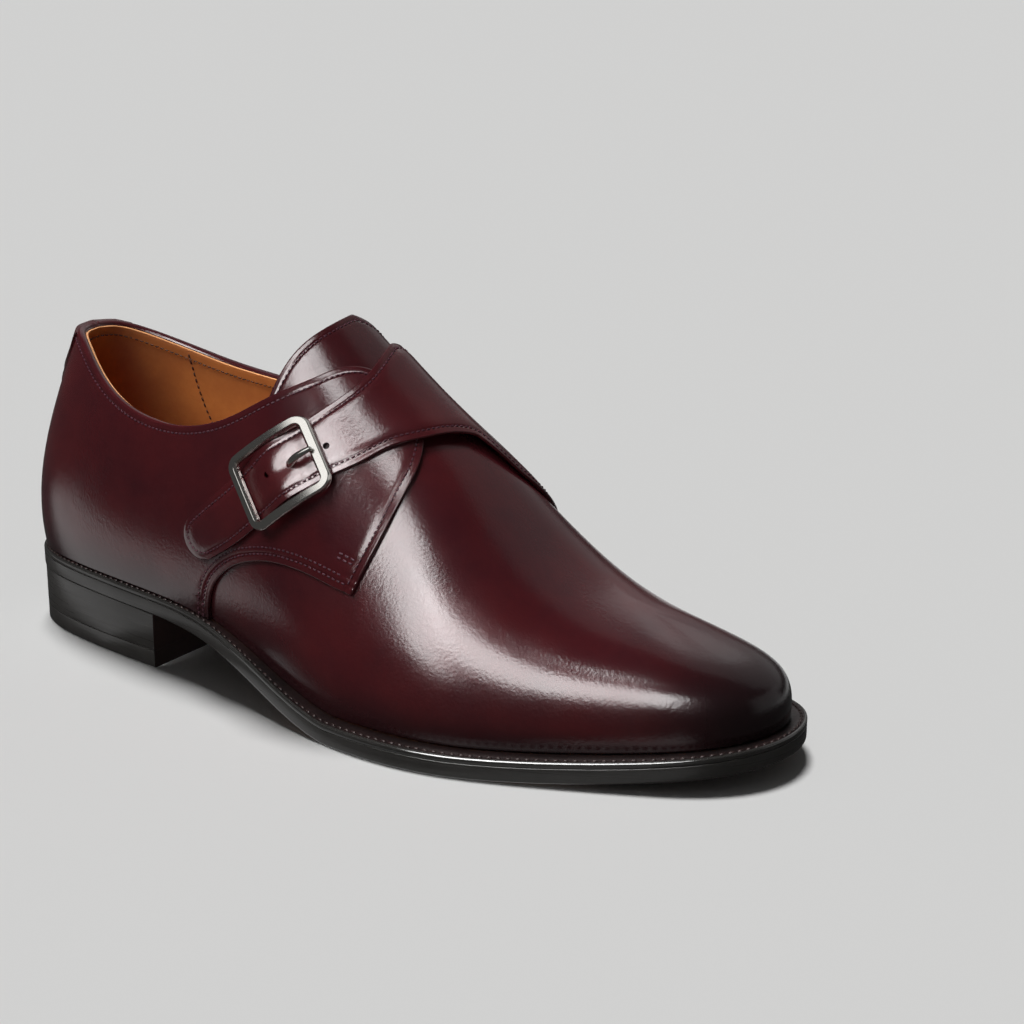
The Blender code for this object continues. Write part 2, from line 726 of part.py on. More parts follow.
def build_patch(name, points, wall, finish, collection):
    """Piece of leather cut to a grid of points on its outer face."""
    return add_wall(add_mesh(name, lambda bm: add_grid(bm, points), finish, collection), wall)


def build_tongue(collection):
    """Tongue: carries the vamp's wall on from the throat to its round top edge."""
    around = np.linspace(TONGUE_EDGE[0].around, TONGUE_EDGE[-1].around, TONGUE_COLUMNS)
    edge, throat = (np.interp(around, line[:, 1], line[:, 0])
                    for line in (style_run(rows, DENSE) for rows in (TONGUE_EDGE, THROAT)))
    share = np.linspace(0, 1, TONGUE_ROWS)[:, None]
    stations = edge * (1 - share) + (throat - TONGUE_GAP) * share
    points = layer_point(stations, around, np.full(stations.shape, -TONGUE_SINK))
    return build_patch("tongue", points, UPPER_WALL, UPPER_LEATHER, collection)


def build_quarter_lateral(collection):
    """Lateral quarter, whose pointed front lies on the vamp and the tongue."""
    grid = lateral_quarter_grid(*QUARTER_COLUMNS, QUARTER_ROWS)
    points = layer_point(grid[..., 0], grid[..., 1], np.full(grid.shape[:2], QUARTER_TOP))
    return build_patch("quarter_lateral", points, QUARTER_WALL, UPPER_LEATHER, collection)


def build_quarter_medial(collection):
    """Medial quarter, cut in one with the strap that crosses the instep to the buckle."""
    grid = medial_quarter_grid(*STRAP_COLUMNS, STRAP_ROWS)[:, ::-1]
    points = layer_point(grid[..., 0], grid[..., 1], strap_level(grid[..., 0], grid[..., 1]))
    return build_patch("quarter_medial_strap", points, QUARTER_WALL, UPPER_LEATHER, collection)


def build_heel_tab(collection):
    """Tab over the top of the back seam, narrower and round at its lower end."""
    place = np.sin(np.linspace(-1, 1, TAB_COLUMNS) * np.pi / 2)[:, None]
    down = np.linspace(1, 0, TAB_ROWS)[None, :]
    reach = (1 - np.abs(place) ** TAB_ROUNDNESS) ** (1 / TAB_ROUNDNESS)
    depth = (TAB_END_SHARE + (TAB_SHARE - TAB_END_SHARE) * reach) * down
    stations = np.abs(place) * TAB_STATION * (1 - TAB_TAPER * depth / TAB_SHARE)
    lateral = np.array(collar_rows("lateral"))
    medial = np.array(collar_rows("medial"))
    top = np.where(place < 0, np.interp(stations, lateral[:, 0], lateral[:, 1]),
                   2 - np.interp(stations, medial[:, 0], medial[:, 1]))
    around = top - TAB_DROP - depth
    around = np.where(place > 0, 2 - around, around)
    level = np.full(around.shape, QUARTER_TOP + GAP + TAB_WALL)
    points = layer_point(stations, around, level)[::-1]
    return build_patch("heel_tab", points, TAB_WALL, UPPER_LEATHER, collection)


def frame_path():
    """Centre line of the buckle's frame: places, and the direction out of the frame at each."""
    corners = [(1, 1), (-1, 1), (-1, -1), (1, -1)]
    reach = np.array([BUCKLE_LENGTH, BUCKLE_WIDTH]) / 2 - BUCKLE_CORNER
    radius = BUCKLE_CORNER - BUCKLE_BAR / 2
    places, outs = [], []
    for quarter, corner in enumerate(corners):
        for angle in np.linspace(quarter, quarter + 1, CORNER_STEPS) * np.pi / 2:
            out = np.array([np.cos(angle), np.sin(angle)])
            places.append(reach * corner + out * radius)
            outs.append(out)
        start, end = places[-1], reach * corners[(quarter + 1) % len(corners)] + out * radius
        for share in np.linspace(0, 1, BAR_STEPS + 1)[1:-1]:
            places.append(start * (1 - share) + end * share)
            outs.append(out)
    return np.array(places), np.array(outs)


def rod_rings(path, radii):
    """Rings about a path of (along, across, level) points over the buckle's seat."""
    rings = []
    angles = np.arange(ROD_SIDES)[:, None] * 2 * np.pi / ROD_SIDES
    for i, (point, radius) in enumerate(zip(path, radii)):
        run = path[min(i + 1, len(path) - 1)] - path[max(i - 1, 0)]
        run = run / np.linalg.norm(run)
        side = np.cross(run, (1, 0, 0) if abs(run[1]) > abs(run[0]) else (0, 1, 0))
        side /= np.linalg.norm(side)
        ring = point + radius * (np.cos(angles) * side + np.sin(angles) * np.cross(run, side))
        rings.append(drape(*ring.T))
    return rings


def add_boolean(thing, other, operation):
    """Exact boolean that keeps the other object as a hidden cutter."""
    other.hide_render = True
    other.display_type = "WIRE"
    modifier = thing.modifiers.new(other.name, "BOOLEAN")
    modifier.operation = operation
    modifier.object = other
    modifier.solver = "EXACT"


def build_buckle(collection, cutters):
    """Rounded frame with a sunk bar across its middle, which the strap covers."""
    half = BUCKLE_BAR / 2
    section = [(-half, BEVEL_DEPTH), (-half + BEVEL, 0), (half - BEVEL, 0), (half, BEVEL_DEPTH),
               (half, 1 - BEVEL_DEPTH), (half - BEVEL, 1), (-half + BEVEL, 1), (-half, 1 - BEVEL_DEPTH)]
    wide, high = np.array(section).T
    rings = [drape(*(place[:, None] + out[:, None] * wide), FRAME_LEVEL + BUCKLE_THICKNESS * high)
             for place, out in zip(*frame_path())]
    frame = build_skin("buckle_frame", rings, True, NICKEL, collection)
    end = BUCKLE_WIDTH / 2 - half
    foot = [(end, FRAME_LEVEL + BUCKLE_THICKNESS / 2), (end, FRAME_LEVEL - CENTRE_BAR / 4),
            (end - CENTRE_BAR / 3, CENTRE_BAR_LEVEL)]
    path = np.array([(0, -across, level) for across, level in foot] + [(0, 0, CENTRE_BAR_LEVEL)]
                    + [(0, across, level) for across, level in foot[::-1]])
    rings = rod_rings(path, [CENTRE_BAR / 2] * len(path))
    add_boolean(frame, build_skin("centre_bar_tool", rings, False, NICKEL, cutters), "UNION")
    return frame


def build_prong(collection):
    """Prong: from beside the sunk bar, up through the strap and onto the bar at the strap's end."""
    start = CENTRE_BAR / 2 + GAP + PRONG / 2
    along, up, size = columns(PRONG_LINE, "along", "up", "size").T
    path = np.stack([start + along * (PRONG_REACH - start), along * 0,
                     CENTRE_BAR_LEVEL + up * (PRONG_REST - CENTRE_BAR_LEVEL)], -1)
    return build_skin("buckle_prong", rod_rings(path, size * PRONG / 2), False, NICKEL, collection)


def cut_prong_slot(strap, cutters):
    """Slot in the strap that the prong comes up through."""
    centre, along, across, out = buckle_axes()
    bpy.ops.mesh.primitive_cube_add(size=1)
    slot = bpy.context.active_object
    slot.name = "prong_slot_tool"
    slot.data.transform(Matrix.Diagonal((PRONG_SLOT_LENGTH, PRONG + 2 * GAP, 4 * STRAP_TOP, 1)))
    turn = Matrix((along, across, out)).transposed().to_4x4()
    slot.matrix_world = Matrix.Translation(Vector(centre + along * PRONG_SLOT_PLACE + out * STRAP_TOP)) @ turn
    for holder in list(slot.users_collection):
        holder.objects.unlink(slot)
    cutters.objects.link(slot)
    add_boolean(strap, slot, "DIFFERENCE")


def main():
    clear_scene()
    shoe = bpy.data.collections.new("monk_strap_shoe")
    cutters = bpy.data.collections.new("cutters")
    for collection in (shoe, cutters):
        bpy.context.scene.collection.children.link(collection)
    strap = build_quarter_medial(shoe)
    cut_prong_slot(strap, cutters)
    build_buckle(shoe, cutters)
    build_heel(shoe)
    for build in (build_outsole, build_welt, build_insole, build_upper, build_tongue,
                  build_quarter_lateral, build_heel_tab, build_prong):
        build(shoe)
    out = EDGE_OUT(np.linspace(0, 1, DENSE))
    stand = bpy.data.objects.new("stand", None)
    stand.location = (-LENGTH / 2, -(out[:, 0].min() + out[:, 1].max()) / 2, 0)
    for piece in [*shoe.objects, *cutters.objects]:
        piece.parent = stand
    shoe.objects.link(stand)


main()
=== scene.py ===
"""Looks of the right monk strap shoe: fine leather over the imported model's form.

The first half repeats the model's last and style lines, in metres: stations run along the sole's
edges from heel (0) to toe (1), around goes from the lateral feather line (0) over the ridge (1)
to the medial one (2). Levels are heights above the last's surface.
"""

from collections import namedtuple

import bmesh
import bpy
import numpy as np
from mathutils import Matrix, Vector


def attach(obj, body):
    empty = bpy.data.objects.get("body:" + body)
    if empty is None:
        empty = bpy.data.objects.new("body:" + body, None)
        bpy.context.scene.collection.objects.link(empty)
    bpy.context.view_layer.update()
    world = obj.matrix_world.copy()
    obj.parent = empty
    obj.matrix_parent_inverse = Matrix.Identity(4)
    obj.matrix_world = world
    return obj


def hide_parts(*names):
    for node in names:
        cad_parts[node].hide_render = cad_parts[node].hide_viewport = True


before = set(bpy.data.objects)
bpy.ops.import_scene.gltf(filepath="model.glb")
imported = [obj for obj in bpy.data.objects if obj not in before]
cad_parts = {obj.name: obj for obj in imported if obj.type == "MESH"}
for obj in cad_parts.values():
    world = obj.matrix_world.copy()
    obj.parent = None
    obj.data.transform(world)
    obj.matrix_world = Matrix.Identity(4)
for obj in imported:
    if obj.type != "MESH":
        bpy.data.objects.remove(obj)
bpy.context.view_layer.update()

# Driving sizes, in metres
LENGTH = 0.300
BALL_WIDTH = 0.109
INSTEP_HEIGHT = 0.124
HEEL_LIFT = 0.0195
TOE_SPRING = 0.0070
HEEL_LENGTH = 0.078

OUTSOLE_THICKNESS = 0.0048
WELT_THICKNESS = 0.0020
TOP_LIFT_THICKNESS = 0.0060
HEEL_LEDGE = 0.0006
INSOLE_THICKNESS = 0.0030
GAP = 0.0003

UPPER_WALL = 0.0018
QUARTER_WALL = 0.0015
TAB_WALL = 0.0008
LAYER_GAP = 0.0006

BUCKLE_LENGTH = 0.0300
BUCKLE_WIDTH = 0.0264
BUCKLE_BAR = 0.0029
BUCKLE_THICKNESS = 0.0024
BUCKLE_CORNER = 0.0045
CENTRE_BAR = 0.0018
PRONG = 0.0015
PRONG_REACH = 0.0134

# Makers' allowances
SEAM_HALF_GAP = 0.0006
FEATHER_SHARE = 0.008
TONGUE_GAP = 0.0020
TONGUE_SINK = 0.0004
TONGUE_SIDE_GAP = 0.014
TONGUE_SIDE_START = 0.40
TONGUE_SIDE_EASE = 0.02
FRONT_PULL = 10
TAIL_REACH = (-0.021, -0.057)
TAIL_COLUMNS = 4
TAB_STATION = 0.078
TAB_TAPER = 0.38
TAB_SHARE = 0.190
TAB_END_SHARE = 0.045
TAB_ROUNDNESS = 3
STRAP_RISE_SPREAD = 0.0075
STRAP_LIFT_START = 1.14
STRAP_LIFT_END = 0.97

# Levels of the outer faces above the last, where the buckle sits
QUARTER_TOP = LAYER_GAP + QUARTER_WALL
CENTRE_BAR_LEVEL = QUARTER_TOP + LAYER_GAP + CENTRE_BAR / 2
STRAP_TOP = QUARTER_TOP + LAYER_GAP + QUARTER_WALL
FRAME_LEVEL = STRAP_TOP + LAYER_GAP
STRAP_RISE = CENTRE_BAR + LAYER_GAP
PRONG_REST = FRAME_LEVEL + BUCKLE_THICKNESS + GAP + PRONG / 2

DENSE = 400
DRAPE_ROUNDS = 6
PLAN_STEP = 1e-4
NORMAL_STEP = 0.004

# Plan of the sole: along as a share of LENGTH, the sides as shares of BALL_WIDTH
Outline = namedtuple("Outline", "along lateral medial")
OUTLINE = [Outline(*row) for row in (
    (0.000, 0.000, 0.000), (0.012, 0.120, 0.124), (0.047, 0.209, 0.216), (0.108, 0.272, 0.280),
    (0.183, 0.313, 0.306), (0.262, 0.343, 0.305), (0.345, 0.380, 0.300), (0.433, 0.438, 0.318),
    (0.525, 0.508, 0.362), (0.615, 0.541, 0.425), (0.690, 0.525, 0.466), (0.763, 0.464, 0.465),
    (0.836, 0.381, 0.425), (0.900, 0.300, 0.366), (0.953, 0.208, 0.290), (0.987, 0.093, 0.188),
    (1.000, -0.048, 0.048))]

# Underside of the outsole: along as a share of LENGTH, heights as shares of the two lifts;
# where it would sink below the floor it is worn flat on it
Under = namedtuple("Under", "along heel toe")
UNDER = [Under(*row) for row in (
    (0.000, 1.05, 0.00), (0.262, 1.00, 0.00), (0.345, 0.87, 0.00), (0.433, 0.48, 0.00),
    (0.510, 0.13, 0.00), (0.560, -0.01, 0.00), (0.640, -0.02, 0.00), (0.730, 0.00, 0.02),
    (0.836, 0.00, 0.24), (0.920, 0.00, 0.58), (1.000, 0.00, 1.00))]

# Ridge of the last: along and centre as shares of LENGTH and BALL_WIDTH, height of INSTEP_HEIGHT
Ridge = namedtuple("Ridge", "station along centre height")
RIDGE = [Ridge(*row) for row in (
    (0.00, 0.165, 0.000, 1.115), (0.10, 0.173, 0.000, 1.117), (0.20, 0.215, 0.002, 1.125),
    (0.30, 0.290, 0.006, 1.130), (0.38, 0.358, 0.012, 1.112), (0.44, 0.417, 0.020, 1.066),
    (0.50, 0.483, 0.028, 0.942), (0.56, 0.553, 0.036, 0.800), (0.62, 0.620, 0.044, 0.675),
    (0.68, 0.680, 0.050, 0.542), (0.74, 0.733, 0.055, 0.436), (0.80, 0.778, 0.058, 0.376),
    (0.86, 0.808, 0.058, 0.351), (0.93, 0.826, 0.058, 0.338), (1.00, 0.832, 0.058, 0.334))]

# Cross-sections: inset of the feather line from the sole's edge in metres, then shares of the
# way out from the ridge to the feather line and of the way up from it to the ridge
Section = namedtuple(
    "Section", "station inset belly_out belly_up side_out side_up shoulder_out shoulder_up crown_out")
LATERAL = [Section(*row) for row in (
    (0.00, 0.0032, 1.05, 0.12, 0.97, 0.34, 0.68, 0.62, 0.32),
    (0.10, 0.0032, 1.06, 0.12, 1.01, 0.32, 0.76, 0.62, 0.36),
    (0.20, 0.0032, 1.06, 0.11, 1.05, 0.31, 0.86, 0.61, 0.44),
    (0.32, 0.0034, 1.05, 0.10, 1.04, 0.30, 0.90, 0.61, 0.48),
    (0.44, 0.0045, 1.03, 0.12, 1.00, 0.34, 0.84, 0.66, 0.42),
    (0.56, 0.0060, 1.02, 0.14, 0.96, 0.40, 0.70, 0.77, 0.32),
    (0.70, 0.0065, 1.02, 0.16, 0.98, 0.44, 0.70, 0.82, 0.30),
    (0.85, 0.0062, 1.01, 0.18, 1.00, 0.48, 0.76, 0.82, 0.34),
    (1.00, 0.0050, 1.01, 0.18, 1.00, 0.48, 0.76, 0.70, 0.35))]
MEDIAL = [Section(*row) for row in (
    (0.00, 0.0032, 1.05, 0.12, 0.97, 0.34, 0.68, 0.62, 0.32),
    (0.10, 0.0032, 1.06, 0.12, 1.01, 0.32, 0.76, 0.62, 0.36),
    (0.20, 0.0032, 1.06, 0.11, 1.05, 0.31, 0.86, 0.61, 0.44),
    (0.32, 0.0034, 1.04, 0.10, 1.04, 0.30, 0.92, 0.61, 0.48),
    (0.44, 0.0040, 1.00, 0.12, 0.98, 0.34, 0.86, 0.66, 0.42),
    (0.56, 0.0050, 1.00, 0.14, 0.94, 0.40, 0.70, 0.76, 0.30),
    (0.70, 0.0060, 1.02, 0.16, 0.96, 0.42, 0.66, 0.76, 0.26),
    (0.85, 0.0062, 1.01, 0.18, 0.99, 0.44, 0.72, 0.72, 0.29),
    (1.00, 0.0050, 1.01, 0.18, 1.00, 0.48, 0.76, 0.70, 0.35))]

# Top edge of the quarters from the heel to the tongue: shares of the way from feather to ridge
Collar = namedtuple("Collar", "station lateral medial")
COLLAR = [Collar(*row) for row in (
    (0.00, 0.716, 0.716), (0.05, 0.712, 0.708), (0.11, 0.696, 0.682), (0.18, 0.628, 0.642),
    (0.23, 0.582, 0.616), (0.28, 0.564, 0.602), (0.33, 0.576, 0.598), (0.38, 0.622, 0.622),
    (0.422, 0.684, 0.684))]

# Prong: shares of the way along its reach and up from the sunk bar to the frame, and its thickness
Bend = namedtuple("Bend", "along up size")
PRONG_LINE = [Bend(*row) for row in (
    (0.00, 0.00, 0.90), (0.10, 0.02, 1.00), (0.27, 0.32, 1.00), (0.44, 0.75, 1.00), (0.63, 0.98, 0.95),
    (1.00, 1.00, 0.70))]

# Style lines: points by station and by the way round, from 0 over the ridge (1) to 2
Style = namedtuple("Style", "station around")
SPANS = (0.365, 0.110)
BUCKLE_SEAT = Style(0.4605, 0.561)
BUCKLE_AIM = Style(0.4955, 0.659)
TONGUE_EDGE = [Style(*row) for row in (
    (0.426, 0.700), (0.434, 0.750), (0.447, 0.820), (0.463, 0.900), (0.475, 1.000), (0.475, 1.090),
    (0.466, 1.170), (0.446, 1.245), (0.426, 1.300))]
THROAT = [Style(*row) for row in (
    (0.470, 0.700), (0.520, 0.785), (0.560, 0.890), (0.580, 1.000), (0.560, 1.110), (0.520, 1.215),
    (0.470, 1.300))]
LATERAL_FRONT = [Style(*row) for row in (
    (0.556, 0.372), (0.574, 0.540), (0.584, 0.700), (0.584, 0.830), (0.566, 0.940))]
LATERAL_TOP = [Style(*row) for row in (
    (0.450, 0.736), (0.474, 0.796), (0.492, 0.856), (0.510, 0.904), (0.535, 0.935), (0.566, 0.940))]
LATERAL_SEAM = [Style(*row) for row in (
    (0.356, 0.000), (0.358, 0.060), (0.364, 0.120), (0.378, 0.184), (0.402, 0.248), (0.426, 0.288),
    (0.464, 0.332), (0.510, 0.362), (0.556, 0.372))]
MEDIAL_SEAM = [Style(*row) for row in (
    (0.396, 2.000), (0.398, 1.940), (0.404, 1.880), (0.418, 1.816), (0.442, 1.752), (0.470, 1.706),
    (0.510, 1.664), (0.560, 1.636), (0.615, 1.620))]
STRAP_FRONT = [Style(*row) for row in (
    (0.615, 1.620), (0.633, 1.440), (0.643, 1.270), (0.641, 1.150), (0.628, 1.070), (0.609, 1.010),
    (0.592, 0.940), (0.578, 0.868), (0.560, 0.795), (0.541, 0.715), (0.515, 0.633), (0.480, 0.525),
    (0.439, 0.407), (0.405, 0.310), (0.376, 0.240))]
STRAP_BACK = [Style(*row) for row in (
    (0.422, 1.316), (0.452, 1.245), (0.480, 1.180), (0.500, 1.108), (0.512, 1.000), (0.514, 0.884),
    (0.496, 0.768), (0.474, 0.690), (0.440, 0.596), (0.396, 0.478), (0.366, 0.400), (0.346, 0.344))]


def spline(knots, values, flat_ends):
    """Cubic spline through values at knots; its slope is nought at the ends if flat_ends."""
    knots = np.asarray(knots, float)
    values = np.asarray(values, float)
    count = len(knots)
    steps = np.diff(knots)
    slopes = np.diff(values, axis=0) / steps.reshape((-1,) + (1,) * (values.ndim - 1))
    matrix = np.zeros((count, count))
    right = np.zeros(values.shape)
    for i in range(1, count - 1):
        matrix[i, i - 1:i + 2] = steps[i - 1], 2 * (steps[i - 1] + steps[i]), steps[i]
        right[i] = 6 * (slopes[i] - slopes[i - 1])
    matrix[0, 0] = matrix[-1, -1] = 1
    if flat_ends:
        matrix[0, :2] = 2 * steps[0], steps[0]
        matrix[-1, -2:] = steps[-1], 2 * steps[-1]
        right[0] = 6 * slopes[0]
        right[-1] = -6 * slopes[-1]
    bends = np.linalg.solve(matrix, right)

    def at(where):
        where = np.asarray(where, float)
        i = np.clip(np.searchsorted(knots, where) - 1, 0, count - 2)
        step = steps[i]
        before = (knots[i + 1] - where) / step
        after = 1 - before
        if values.ndim > 1:
            step, before, after = step[..., None], before[..., None], after[..., None]
        return (before * values[i] + after * values[i + 1]
                + ((before**3 - before) * bends[i] + (after**3 - after) * bends[i + 1]) * step**2 / 6)
    return at


def columns(table, *names):
    """The named columns of a table, as an array with a row for each of its rows."""
    return np.array([[getattr(row, name) for name in names] for row in table])


def edge_stations():
    """Station of each OUTLINE row: its share of the way round the sole's edge."""
    lateral = columns(OUTLINE, "along", "lateral") * (LENGTH, BALL_WIDTH)
    medial = columns(OUTLINE, "along", "medial") * (LENGTH, BALL_WIDTH)
    steps = sum(np.linalg.norm(np.diff(edge, axis=0), axis=1) for edge in (lateral, medial))
    reached = np.concatenate([[0], np.cumsum(steps)])
    return reached / reached[-1]


EDGE_STATIONS = edge_stations()
EDGE_ALONG = spline(EDGE_STATIONS, columns(OUTLINE, "along")[:, 0] * LENGTH, True)
EDGE_OUT = spline(EDGE_STATIONS, columns(OUTLINE, "lateral", "medial") * (-BALL_WIDTH, BALL_WIDTH), False)
UNDER_CURVE = spline(columns(UNDER, "along")[:, 0] * LENGTH,
                     columns(UNDER, "heel", "toe") @ (HEEL_LIFT, TOE_SPRING), False)
RIDGE_LINE = spline(columns(RIDGE, "station")[:, 0],
                    columns(RIDGE, "along", "centre", "height") * (LENGTH, BALL_WIDTH, INSTEP_HEIGHT), True)
SECTION_SHAPE = [spline(columns(table, "station")[:, 0], columns(table, *Section._fields[1:]), True)
                 for table in (LATERAL, MEDIAL)]
WELT_TOP = OUTSOLE_THICKNESS + GAP + WELT_THICKNESS
FEATHER_LIFT = WELT_TOP + GAP


def underside(along):
    """Height of the outsole's underside above the floor."""
    return np.maximum(UNDER_CURVE(along), 0)


def sole_edge(station, medial, inset=0.0):
    """Plan point of the sole's edge, moved inward by inset."""
    station, medial, inset = np.broadcast_arrays(*(np.asarray(a, float) for a in (station, medial, inset)))

    def point(where):
        out = EDGE_OUT(where)
        return np.stack([EDGE_ALONG(where), np.where(medial > 0, out[..., 1], out[..., 0])], -1)

    step = PLAN_STEP
    along = point(np.clip(station + step, 0, 1)) - point(np.clip(station - step, 0, 1))
    along[..., 0] = np.where((station < step) | (station > 1 - step), 0, along[..., 0])
    along /= np.linalg.norm(along, axis=-1, keepdims=True)
    inward = np.stack([-along[..., 1], along[..., 0]], -1) * np.where(medial > 0, -1, 1)[..., None]
    return point(station) + inward * inset[..., None]


def b_spline(v, count):
    """Weights of count control points in a clamped cubic B-spline at v, from 0 to 1."""
    v = np.clip(np.asarray(v, float), 0, 1 - 1e-9)
    knots = np.concatenate([[0] * 3, np.linspace(0, 1, count - 2), [1] * 3])
    weights = [((v >= a) & (v < b)).astype(float) for a, b in zip(knots[:-1], knots[1:])]
    for degree in (1, 2, 3):
        raised = []
        for i in range(len(weights) - 1):
            total = np.zeros_like(v)
            if knots[i + degree] > knots[i]:
                total = total + (v - knots[i]) / (knots[i + degree] - knots[i]) * weights[i]
            if knots[i + degree + 1] > knots[i + 1]:
                span = knots[i + degree + 1] - knots[i + 1]
                total = total + (knots[i + degree + 1] - v) / span * weights[i + 1]
            raised.append(total)
        weights = raised
    return np.stack(weights[:count], -1)


def last_point(station, around):
    """Point of the last at a station and at around: 0 lateral feather, 1 ridge, 2 medial feather."""
    station, around = np.broadcast_arrays(np.asarray(station, float), np.asarray(around, float))
    medial = around > 1
    shape = np.where(medial[..., None], SECTION_SHAPE[1](station), SECTION_SHAPE[0](station))
    inset, *sides, crown_out = np.moveaxis(shape, -1, 0)
    ridge = RIDGE_LINE(station)
    feather = sole_edge(station, medial, inset)
    feather = np.concatenate([feather, (underside(feather[..., 0]) + FEATHER_LIFT)[..., None]], -1)
    span = feather - ridge

    def control(out, up):
        level = feather[..., 2] - up * span[..., 2]
        return np.concatenate([ridge[..., :2] + span[..., :2] * out[..., None], level[..., None]], -1)

    near = np.clip(station, 0.02, 0.96)
    run = RIDGE_LINE(near + 0.01) - RIDGE_LINE(near - 0.01)
    crown = control(crown_out, np.ones_like(crown_out))
    crown[..., 2] += run[..., 2] / run[..., 0] * (crown[..., 0] - ridge[..., 0])
    controls = [feather] + [control(out, up) for out, up in zip(sides[::2], sides[1::2])] + [crown, ridge]
    weights = b_spline(np.where(medial, 2 - around, around), 6)
    return (weights[..., None] * np.stack(controls, -2)).sum(-2)


def last_normal(station, around):
    """Outward unit normal of the last."""
    station, around = np.broadcast_arrays(np.asarray(station, float), np.asarray(around, float))
    step = NORMAL_STEP
    station = np.clip(station, step, 0.99 - step)
    low = np.where(around > 1, np.maximum(around - step, 1 + 1e-7), np.maximum(around - step, 0))
    high = np.where(around > 1, np.minimum(around + step, 2), np.minimum(around + step, 1))
    along = last_point(station + step, around) - last_point(station - step, around)
    across = last_point(station, high) - last_point(station, low)
    normal = np.cross(along, across)
    return normal / np.linalg.norm(normal, axis=-1, keepdims=True)


def layer_point(station, around, level):
    """Point at a level above the last's surface."""
    return last_point(station, around) + last_normal(station, around) * np.asarray(level)[..., None]


def style_run(rows, count):
    """Points, count of them and evenly spaced, on the smooth line through style rows."""
    rows = np.array(rows, float)
    reached = run_length(rows, SPANS)
    line = spline(reached, rows, False)
    return line(np.linspace(0, reached[-1], count))


def collar_rows(side):
    """Collar line of one side, lateral or medial, as style rows from the back seam to the tongue."""
    rows = []
    for row in COLLAR:
        share = getattr(row, side)
        around = share if side == "lateral" else 2 - share
        rows.append((max(row.station, SEAM_HALF_GAP), around))
    return rows


def throat_share(station, side):
    """How far up a side the vamp and its backing reach: up the collar, then up the throat."""
    lateral = side == "lateral"
    throat = style_run(THROAT, 2 * DENSE + 1)
    throat = throat[:DENSE + 1] if lateral else throat[:DENSE - 1:-1]
    line = np.concatenate([style_run(collar_rows(side), DENSE), throat])
    share = line[:, 1] if lateral else 2 - line[:, 1]
    beside = smooth_step((line[:, 0] - TONGUE_SIDE_START) / TONGUE_SIDE_EASE)
    beside[line[:, 0] >= throat[-1, 0]] = 0
    return np.interp(station, line[:, 0], share - TONGUE_SIDE_GAP * beside)


def split(points):
    """Stations and arounds of style points, or the two columns of a table."""
    return points[..., 0], points[..., 1]


def run_length(points, scale=1.0):
    """Way along a line of points up to each of them, its steps scaled."""
    return np.concatenate([[0], np.cumsum(np.linalg.norm(np.diff(points, axis=0) * scale, axis=1))])


def smooth_step(value):
    """Ease from 0 to 1 as value goes from 0 to 1."""
    value = np.clip(value, 0, 1)
    return value * value * (3 - 2 * value)


def buckle_axes():
    """Centre of the buckle's seat on the last, and its directions along, across and out of the strap."""
    centre = last_point(*BUCKLE_SEAT)
    out = last_normal(*BUCKLE_SEAT)
    along = last_point(*BUCKLE_AIM) - centre
    along -= out * (along @ out)
    along /= np.linalg.norm(along)
    return centre, along, np.cross(out, along), out


def drape(along, across, level):
    """Points over the buckle's seat: plan places along and across the strap, level above the last."""
    centre, *plan = buckle_axes()[:3]
    plan = np.stack(plan)
    along, across, level = np.broadcast_arrays(*(np.asarray(a, float) for a in (along, across, level)))
    target = np.stack([along, across], -1)
    where = np.broadcast_to(np.array(BUCKLE_SEAT), target.shape).copy()
    step = PLAN_STEP
    for _ in range(DRAPE_ROUNDS):
        here = last_point(*split(where))
        by_station = (last_point(where[..., 0] + step, where[..., 1]) - here) @ plan.T / step
        by_around = (last_point(where[..., 0], where[..., 1] + step) - here) @ plan.T / step
        miss = target - (here - centre) @ plan.T
        slopes = np.stack([by_station, by_around], -1)
        where += np.linalg.solve(slopes, miss[..., None])[..., 0]
    return layer_point(*split(where), level)


def strap_level(station, around):
    """Level of the outer face of the medial quarter and strap, over what lies beneath."""
    centre, along = buckle_axes()[:2]
    place = last_point(station, around) - centre
    lift = smooth_step((STRAP_LIFT_START - around) / (STRAP_LIFT_START - STRAP_LIFT_END))
    rise = STRAP_RISE * np.exp(-(place @ along / STRAP_RISE_SPREAD) ** 2) * (around < 1)
    return QUARTER_TOP + lift * (QUARTER_WALL + LAYER_GAP) + rise


# Sizes of the leather, its seams and its stitches
EDGE_NOW = EDGE_OUT(np.linspace(0, 1, DENSE))
PLACE = np.array([-LENGTH / 2, -(EDGE_NOW[:, 0].min() + EDGE_NOW[:, 1].max()) / 2, 0])
THREAD = 0.00027
STITCH_PITCH = 0.0019
WELT_PITCH = 0.0029
STRAP_COLUMNS = (16, 8, 32)
STITCH_SHARE = 0.74
GROOVE_DEPTH = 0.00022
GROOVE_WIDTH = 0.00045
SKIVE = 0.0005
SKIVE_REACH = 0.005
ROW_INSET = 0.0021
SECOND_ROW = 0.0043
VAMP_WALL = 0.0010
TACK_RUN = (-0.024, -0.003)
MEDIAL_TACK_RUN = (-0.024, 0.003)
TACK_PLACES = (0.0083, 0.0097)
TACK_DEPTH = 0.00018
PUCKER_REACH = 0.025
TACK_WIDTH = 0.0006
RIM_STEPS = 5
LINING_SEAM = [(0.1700, 1.362), (0.1732, 1.396), (0.1780, 1.450), (0.1848, 1.517), (0.1935, 1.585),
               (0.2030, 1.650)]
LINING_LEVEL = -VAMP_WALL - 0.00005
LINING_ROW = 0.0030
LINING_PITCH = 0.0024
ROW_DROP = -0.55 * GROOVE_DEPTH
SKIVED_DROP = -0.6 * SKIVE
TACK_DROP = 0.75 * TACK_DEPTH
TACK_PITCH = 0.0017
SEAM_ALLOWANCE = 0.012
VAMP_START = (0.335, 0.345)
